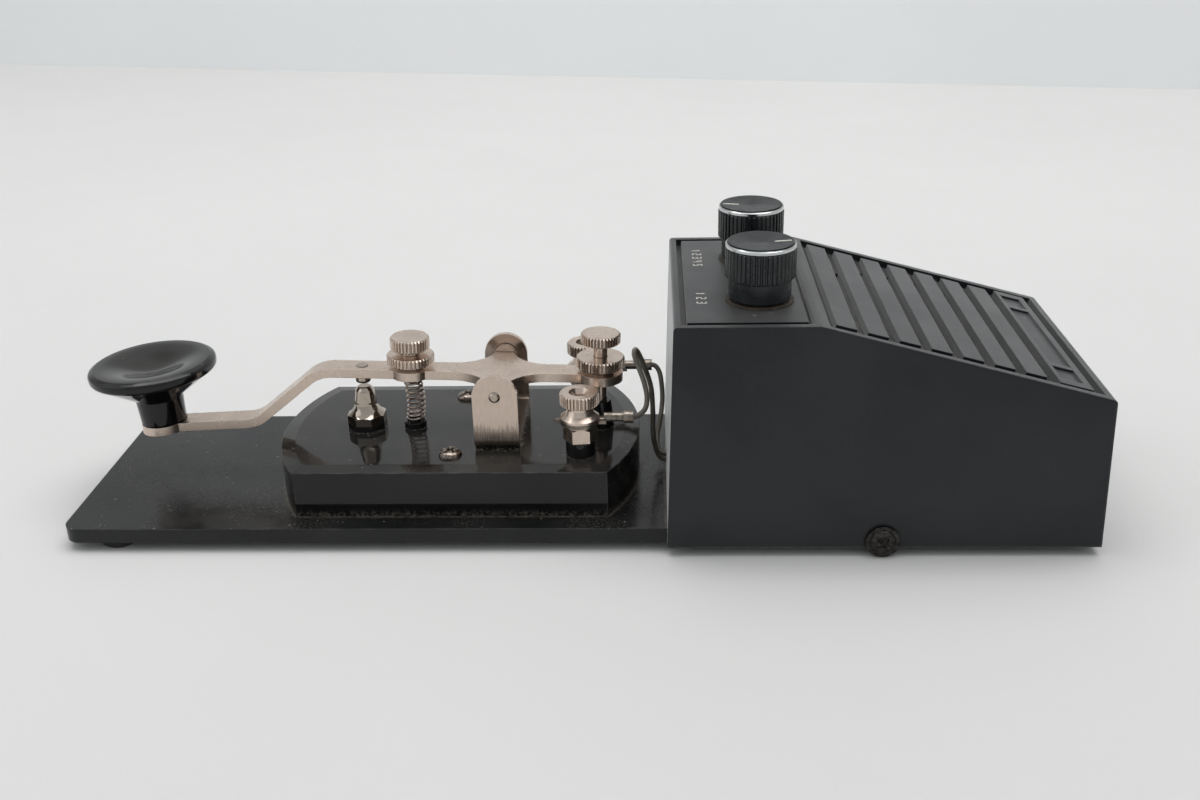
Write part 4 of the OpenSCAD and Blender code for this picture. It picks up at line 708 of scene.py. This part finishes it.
class OBJECT_OT_oscillator_stage(Step, bpy.types.Operator):
    """Floor, backdrop, soft lights and the camera at the angle of the photograph"""

    bl_idname = "object.oscillator_stage"
    bl_label = "Stage"

    def make(self, sizes, colours):
        # The sheet meets the backdrop along the line seen in the photograph
        left, right = (-2.4, 1.009), (2.4, 0.0255)
        top, reach = 1.3, 3
        sheet = [(-reach, -reach, 0), (reach, -reach, 0), (reach, reach, 0), (-reach, reach, 0)]
        board = [(*left, 0), (*right, 0), (*right, top), (*left, top)]
        shade_starts, shade_full, deepest_shade = 0.22, 0.34, 0.36
        for name, colour, corners in (("floor", colours.floor, sheet), ("backdrop", colours.wall, board)):
            material, tree, shader, place = start(name + "_card", ior=1.45)
            parts = add(tree, "SeparateXYZ", {0: place.outputs["Object"]})
            # The upper part of the backdrop hangs in shade
            limits = {"From Min": shade_starts, "From Max": shade_full, "To Max": deepest_shade}
            shade = add(tree, "MapRange", {"Value": parts.outputs[2], **limits})
            finish(
                tree, shader, colour, lighter(colour, -0.02), patches(tree, place, 160, 0.0, 1.0),
                patches(tree, place, 40, 0.7, 0.85), shade.outputs[0], linear("#1c1d1f"),
            )
            new_piece(name, corners, [(0, 1, 2, 3)], material, None, None, False)
        for name, place, target, size, power in (
            ("overhead", (0.05, 0.15, 1.05), (0.0, 0.05, 0.0), (1.2, 0.7), 5.0),
            ("wall_wash", (0.0, 0.1, 0.95), (0.0, 0.6, 0.1), (1.4, 0.3), 3.5),
            ("left_fill", (-0.9, -0.35, 0.55), (0.0, 0.0, 0.02), (0.7, 0.7), 0.8),
        ):
            light = bpy.data.lights.new(name, "AREA")
            light.shape = "RECTANGLE"
            light.size, light.size_y = size
            light.energy = power
            lamp = bpy.data.objects.new(name, light)
            lamp.location = place
            lamp.rotation_mode = "QUATERNION"
            lamp.rotation_quaternion = (Vector(target) - Vector(place)).to_track_quat("-Z", "Y")
            bpy.context.scene.collection.objects.link(lamp)
        self.make_world()
        bpy.context.scene.view_settings.view_transform = "Standard"
        self.make_camera()

    def make_world(self):
        """White walls all round, a little darker towards the open side where the photographer stands."""
        world = bpy.data.worlds.new("light_tent")
        world.use_nodes = True
        tree = world.node_tree
        way = add(tree, "SeparateXYZ", {0: add(tree, "TexCoord").outputs["Generated"]}).outputs[1]
        limits = {"From Min": -0.75, "From Max": 0.1, "To Min": 0.62, "To Max": 0.78}
        glow = add(tree, "MapRange", {"Value": way, **limits})
        walls = tree.nodes["Background"]
        walls.inputs["Color"].default_value = linear("#eef2f5")
        tree.links.new(glow.outputs[0], walls.inputs["Strength"])
        bpy.context.scene.world = world

    def make_camera(self):
        """The camera of the photograph, solved from the straight edges of the plate and the case."""
        camera = bpy.data.cameras.new("camera")
        camera.lens = 38.906
        camera.sensor_width = 36
        camera.clip_start, camera.clip_end = 0.01, 20
        eye = (0.01717, -0.2626, 0.13893)
        yaw, fall, roll = math.radians(-2.59), math.radians(24.03), math.radians(-1.41)
        ahead = Vector((math.sin(yaw) * math.cos(fall), math.cos(yaw) * math.cos(fall), -math.sin(fall)))
        right = Vector((math.cos(yaw), -math.sin(yaw), 0))
        up = right.cross(ahead)
        turned_right = right * math.cos(roll) + up * math.sin(roll)
        turned_up = up * math.cos(roll) - right * math.sin(roll)
        seat = bpy.data.objects.new("camera", camera)
        axes = Matrix((turned_right, turned_up, -ahead)).transposed().to_4x4()
        seat.matrix_world = Matrix.Translation(eye) @ axes
        bpy.context.scene.collection.objects.link(seat)
        bpy.context.scene.camera = seat


class OBJECT_OT_oscillator_plate(Step, bpy.types.Operator):
    """Enamelled steel plate and its rubber feet"""

    bl_idname = "object.oscillator_plate"
    bl_label = "Plate and feet"

    def make(self, sizes, colours):
        coat(baked_enamel(colours), "base_plate")
        coat(moulded_rubber(), "rubber_feet")


class OBJECT_OT_oscillator_case(Step, bpy.types.Operator):
    """Moulded case with its louvre, and the screws that hold it to the plate"""

    bl_idname = "object.oscillator_case"
    bl_label = "Case"

    def make(self, sizes, colours):
        coat(sparked_abs(colours), "case_shell")
        oxide = black_oxide()
        coat(oxide, "side_washers")
        head_height, shank_radius, bite = 0.9 * MM, 1.25 * MM, 6.5 * MM
        low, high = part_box("side_screws")
        middle, level, radius = (low.x + high.x) / 2, (low.z + high.z) / 2, (high.x - low.x) / 2
        face = high.y - head_height
        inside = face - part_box("base_plate")[1].y + bite
        parts = []
        for side in (-1, 1):
            foot, away = Vector((middle, side * face, level)), Vector((0, side, 0))
            parts.append(screw(foot, away, radius, head_height, inside, shank_radius))
        screws = new_piece("case_cross_screws", *merged(parts), oxide, "base", "screw_nickel")
        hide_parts("side_screws")


class OBJECT_OT_oscillator_numerals(Step, bpy.types.Operator):
    """Plain numerals beside each control, to be read from the key"""

    bl_idname = "object.oscillator_numerals"
    bl_label = "Numerals"

    def make(self, sizes, colours):
        ink = printed_ink(colours)
        # The numerals stand upright to someone at the key: up is along x, and the rows run against y
        rows_x, narrowing = 27.0 * MM, 0.9
        sunk, film, bevel = 0.005 * MM, 0.03 * MM, 0.008 * MM
        cell = (sizes.numeral_height - sizes.numeral_stroke) / 2
        foot_x = rows_x - sizes.numeral_height / 2 + sizes.numeral_stroke / 2
        for name, digits, first_mm, pitch_mm in (
            ("rear_numerals", "12345", 19.6, 2.55),
            ("front_numerals", "123", -9.4, 2.75),
        ):
            parts = []
            for i, digit in enumerate(digits):
                side_y = (first_mm - i * pitch_mm) * MM
                for stroke in STROKES[digit]:
                    ends = [
                        Vector((foot_x + v * cell, side_y - u * cell * narrowing, PANEL_TOP - sunk))
                        for u, v in stroke
                    ]
                    parts.append(bar(*ends, sizes.numeral_stroke, film, Vector((0, 0, 1)), bevel))
            new_piece(name, *merged(parts), ink, "base", "case_plastic", False)


class OBJECT_OT_oscillator_key_base(Step, bpy.types.Operator):
    """Pressed base of the key, and the screws of the key"""

    bl_idname = "object.oscillator_key_base"
    bl_label = "Key base"

    def make(self, sizes, colours):
        coat(polished_bakelite(colours, "rubbed_bakelite", base=True), "key_base")
        worn = handled_screws(colours)
        coat(worn, "bracket_screw", "knob_screw")
        head_height, shank_radius = 1.35 * MM, 1.5 * MM
        low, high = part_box("base_screws")
        middle, radius, inside = (low.x + high.x) / 2, (high.x - low.x) / 2, BASE_HIGH.z - low.z
        parts = []
        for y in (low.y + radius, high.y - radius):
            foot, away = Vector((middle, y, BASE_HIGH.z)), Vector((0, 0, 1))
            parts.append(screw(foot, away, radius, head_height, inside, shank_radius))
        screws = new_piece("cross_screws", *merged(parts), worn, "base", "screw_nickel")
        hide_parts("base_screws")


class OBJECT_OT_oscillator_lever(Step, bpy.types.Operator):
    """Lever with its cross, the bracket that carries it, pins, contacts, studs and lugs"""

    bl_idname = "object.oscillator_lever"
    bl_label = "Lever, bracket and contacts"

    def make(self, sizes, colours):
        coat(satin_nickel(colours), "key_lever")
        # The bracket is brushed, with a painted reflection of the black key base low on its ears
        brushed = satin_nickel(
            colours, "brushed_nickel", tone=-0.04, rough=(0.2, 0.25), stretch=(6, 6, 0.3), brushed_with_reflection=True
        )
        coat(brushed, "trunnion_bracket")
        coat(polished_nickel(colours), "trunnion_pins", "lever_contact", "contact_post", "terminal_studs")
        coat(tinned_lug(), "front_ring_lug", "rear_ring_lug")


class OBJECT_OT_oscillator_spring(Step, bpy.types.Operator):
    """Return spring between the seat and the spring thumbscrew"""

    bl_idname = "object.oscillator_spring"
    bl_label = "Return spring"

    def make(self, sizes, colours):
        turn_steps, wire_sides = 24, 10
        # The end turns lie flat, so the climb starts and ends slowly, by this share of the height
        slowing = 0.032
        low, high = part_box("return_spring")
        centre = (low + high) / 2
        wire_radius = sizes.wire_diameter / 2
        radius = (sizes.spring_diameter - sizes.wire_diameter) / 2
        bottom, top = low.z + wire_radius, high.z - wire_radius
        steps = sizes.spring_turns * turn_steps
        points = []
        for i in range(steps + 1):
            t = i / steps
            climb = (top - bottom) * (t - slowing * math.sin(2 * math.pi * t))
            a = 2 * math.pi * sizes.spring_turns * t
            # Pressed off square by the thumbscrew, the spring bows a little towards the bracket
            bowed = centre.x + sizes.spring_bow * math.sin(math.pi * t)
            across, along = radius * math.cos(a), radius * math.sin(a)
            points.append(Vector((bowed + across, centre.y + along, bottom + climb)))
        coil = tube(points, wire_radius, wire_sides)
        spring = new_piece("spring_coil", *coil, drawn_wire(colours), None, "spring_steel")
        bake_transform(spring)
        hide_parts("return_spring")


class OBJECT_OT_oscillator_thumbscrews(Step, bpy.types.Operator):
    """Knurled thumbscrews and their lock nuts, and the nuts and washers of the binding posts"""

    bl_idname = "object.oscillator_thumbscrews"
    bl_label = "Thumbscrews and nuts"

    def make(self, sizes, colours):
        turned = turned_nickel(colours)
        coat(turned, "spring_screw", "spring_lock_nut", "gap_screw", "gap_lock_nut")
        coat(turned, "front_thumb_nut", "rear_thumb_nut", "terminal_nuts", "terminal_washers")


class OBJECT_OT_oscillator_key_knob(Step, bpy.types.Operator):
    """Dished knob that the fingers press, and the black pads and bosses of the key base"""

    bl_idname = "object.oscillator_key_knob"
    bl_label = "Key knob"

    def make(self, sizes, colours):
        gloss = polished_bakelite(colours)
        coat(gloss, "key_knob", "spring_seat", "gap_boss", "post_pad", "terminal_bosses")


class OBJECT_OT_oscillator_leads(Step, bpy.types.Operator):
    """The two leads from the binding posts into the case"""

    bl_idname = "object.oscillator_leads"
    bl_label = "Leads"

    def make(self, sizes, colours):
        cover = aged_vinyl(colours)
        step, sides = 0.5 * MM, 16
        for name, route, node in (
            ("front_wire", FRONT_ROUTE, "front_lead"),
            ("rear_wire", REAR_ROUTE, "rear_lead"),
        ):
            lead = tube(smoothed(route, step), sizes.lead_diameter / 2, sides)
            wire = new_piece(name, *lead, cover, "base", "lead_cover")
            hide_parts(node)


class OBJECT_OT_oscillator_controls(Step, bpy.types.Operator):
    """Control knobs with turned caps, pointers and fibre washers"""

    bl_idname = "object.oscillator_controls"
    bl_label = "Control knobs"

    def make(self, sizes, colours):
        coat(moulded_knob(colours), "front_knob", "rear_knob")
        coat(vulcanised_fibre(), "panel_washers")
        ink = printed_ink(colours)
        # The face of the cap dips towards its middle, inside a rim
        dip, rim_width, pointer_inset = 0.35 * MM, 0.7 * MM, 0.95 * MM
        sunk, film, bevel = 0.01 * MM, 0.05 * MM, 0.015 * MM
        for side, turn in (("front", 1), ("rear", -1)):
            low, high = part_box(side + "_knob_cap")
            centre, radius = (low + high) / 2, (high.x - low.x) / 2
            coat(turned_cap(colours, side + "_turned_cap", centre, radius), side + "_knob_cap")
            outer = radius - pointer_inset - sizes.pointer_width / 2
            ends = []
            for r in (outer - sizes.pointer_length, outer):
                face = high.z - dip * (1 - r / (radius - rim_width))
                ends.append(Vector((centre.x + turn * r, centre.y, face - sunk)))
            mark = bar(*ends, sizes.pointer_width, film, Vector((0, 0, 1)), bevel)
            new_piece(side + "_pointer", *mark, ink, side + "_control", "spun_aluminium", False)


class OBJECT_OT_oscillator_inner_parts(Step, bpy.types.Operator):
    """Potentiometers, board, loudspeaker, battery and jacks"""

    bl_idname = "object.oscillator_inner_parts"
    bl_label = "Inner parts"

    def make(self, sizes, colours):
        zinc = zinc_plate(colours)
        coat(zinc, "front_pot", "rear_pot", "front_shaft", "rear_shaft", "pot_nuts")
        coat(zinc, "speaker_frame", "battery_clip")
        coat(bpy.data.materials["turned_nickel"], "board_screws", "speaker_screws")
        coat(solder_mask(), "circuit_board")
        # Turned brass, slightly tarnished
        coat(plain("turned_brass", "#b0944f", "#8a7038", (0.28, 0.42), metallic=1.0), "board_standoffs")
        # Epoxy moulded round a chip: matt, with a fine even grain
        coat(plain("moulded_epoxy", "#161617", "#232324", (0.45, 0.6)), "oscillator_chip", "battery_snap")
        # Polyamide moulded jacks: a silky black
        jacks = plain("moulded_polyamide", "#17181a", "#242628", (0.32, 0.46), patch_mm=3.0)
        coat(jacks, "phones_jack", "power_jack")
        # Shrink sleeve over aluminium cans: glossy blue
        coat(plain("shrink_sleeve", "#22304c", "#2c3d60", (0.22, 0.34)), "capacitors")
        # Dipped lacquer of resistors: tan, glossy and uneven
        coat(plain("dipped_lacquer", "#b09567", "#9c8154", (0.2, 0.35), patch_mm=1.0), "resistors")
        # Pressed paper pulp of the cone: soft, black and fibrous
        pulp = {"patch_mm": 1.0, "grain_mm": 0.25, "height_mm": 0.03}
        coat(plain("pressed_paper", "#262523", "#3a3834", (0.8, 0.92), **pulp), "speaker_cone")
        # Sintered ferrite: dark grey and dull
        coat(plain("sintered_ferrite", "#3b3b3d", "#2b2b2d", (0.55, 0.7), patch_mm=1.5), "speaker_magnet")
        # Painted steel can of the battery
        coat(plain("painted_can", "#3f434b", "#4a4e57", (0.3, 0.42), patch_mm=6.0), "battery")


class VIEW3D_PT_oscillator(bpy.types.Panel):
    """Lists the steps and what can be set"""

    bl_idname = "VIEW3D_PT_oscillator"
    bl_label = "Practice Oscillator"
    bl_space_type = "VIEW_3D"
    bl_region_type = "UI"
    bl_category = "Oscillator"

    def draw(self, context):
        for group in (context.scene.oscillator_sizes, context.scene.oscillator_colours):
            box = self.layout.box()
            for name in group.__annotations__:
                box.prop(group, name)
        column = self.layout.column(align=True)
        for step in STEPS:
            column.operator(step.bl_idname, text=step.bl_label)


STEPS = (
    OBJECT_OT_oscillator_stage,
    OBJECT_OT_oscillator_leads,
    OBJECT_OT_oscillator_plate,
    OBJECT_OT_oscillator_case,
    OBJECT_OT_oscillator_numerals,
    OBJECT_OT_oscillator_key_base,
    OBJECT_OT_oscillator_lever,
    OBJECT_OT_oscillator_spring,
    OBJECT_OT_oscillator_thumbscrews,
    OBJECT_OT_oscillator_key_knob,
    OBJECT_OT_oscillator_controls,
    OBJECT_OT_oscillator_inner_parts,
)
CLASSES = (OscillatorColours, OscillatorSizes, *STEPS, VIEW3D_PT_oscillator)


def register():
    """Adds the classes, and the sizes and colours to the scene."""
    for made in CLASSES:
        bpy.utils.register_class(made)
    bpy.types.Scene.oscillator_sizes = bpy.props.PointerProperty(type=OscillatorSizes)
    bpy.types.Scene.oscillator_colours = bpy.props.PointerProperty(type=OscillatorColours)


def unregister():
    """Takes away what register adds."""
    del bpy.types.Scene.oscillator_colours
    del bpy.types.Scene.oscillator_sizes
    for made in reversed(CLASSES):
        bpy.utils.unregister_class(made)


def main():
    """Makes every piece in order."""
    register()
    for step in STEPS:
        getattr(bpy.ops.object, step.bl_idname.split(".")[1])()


if __name__ == "__main__":
    main()
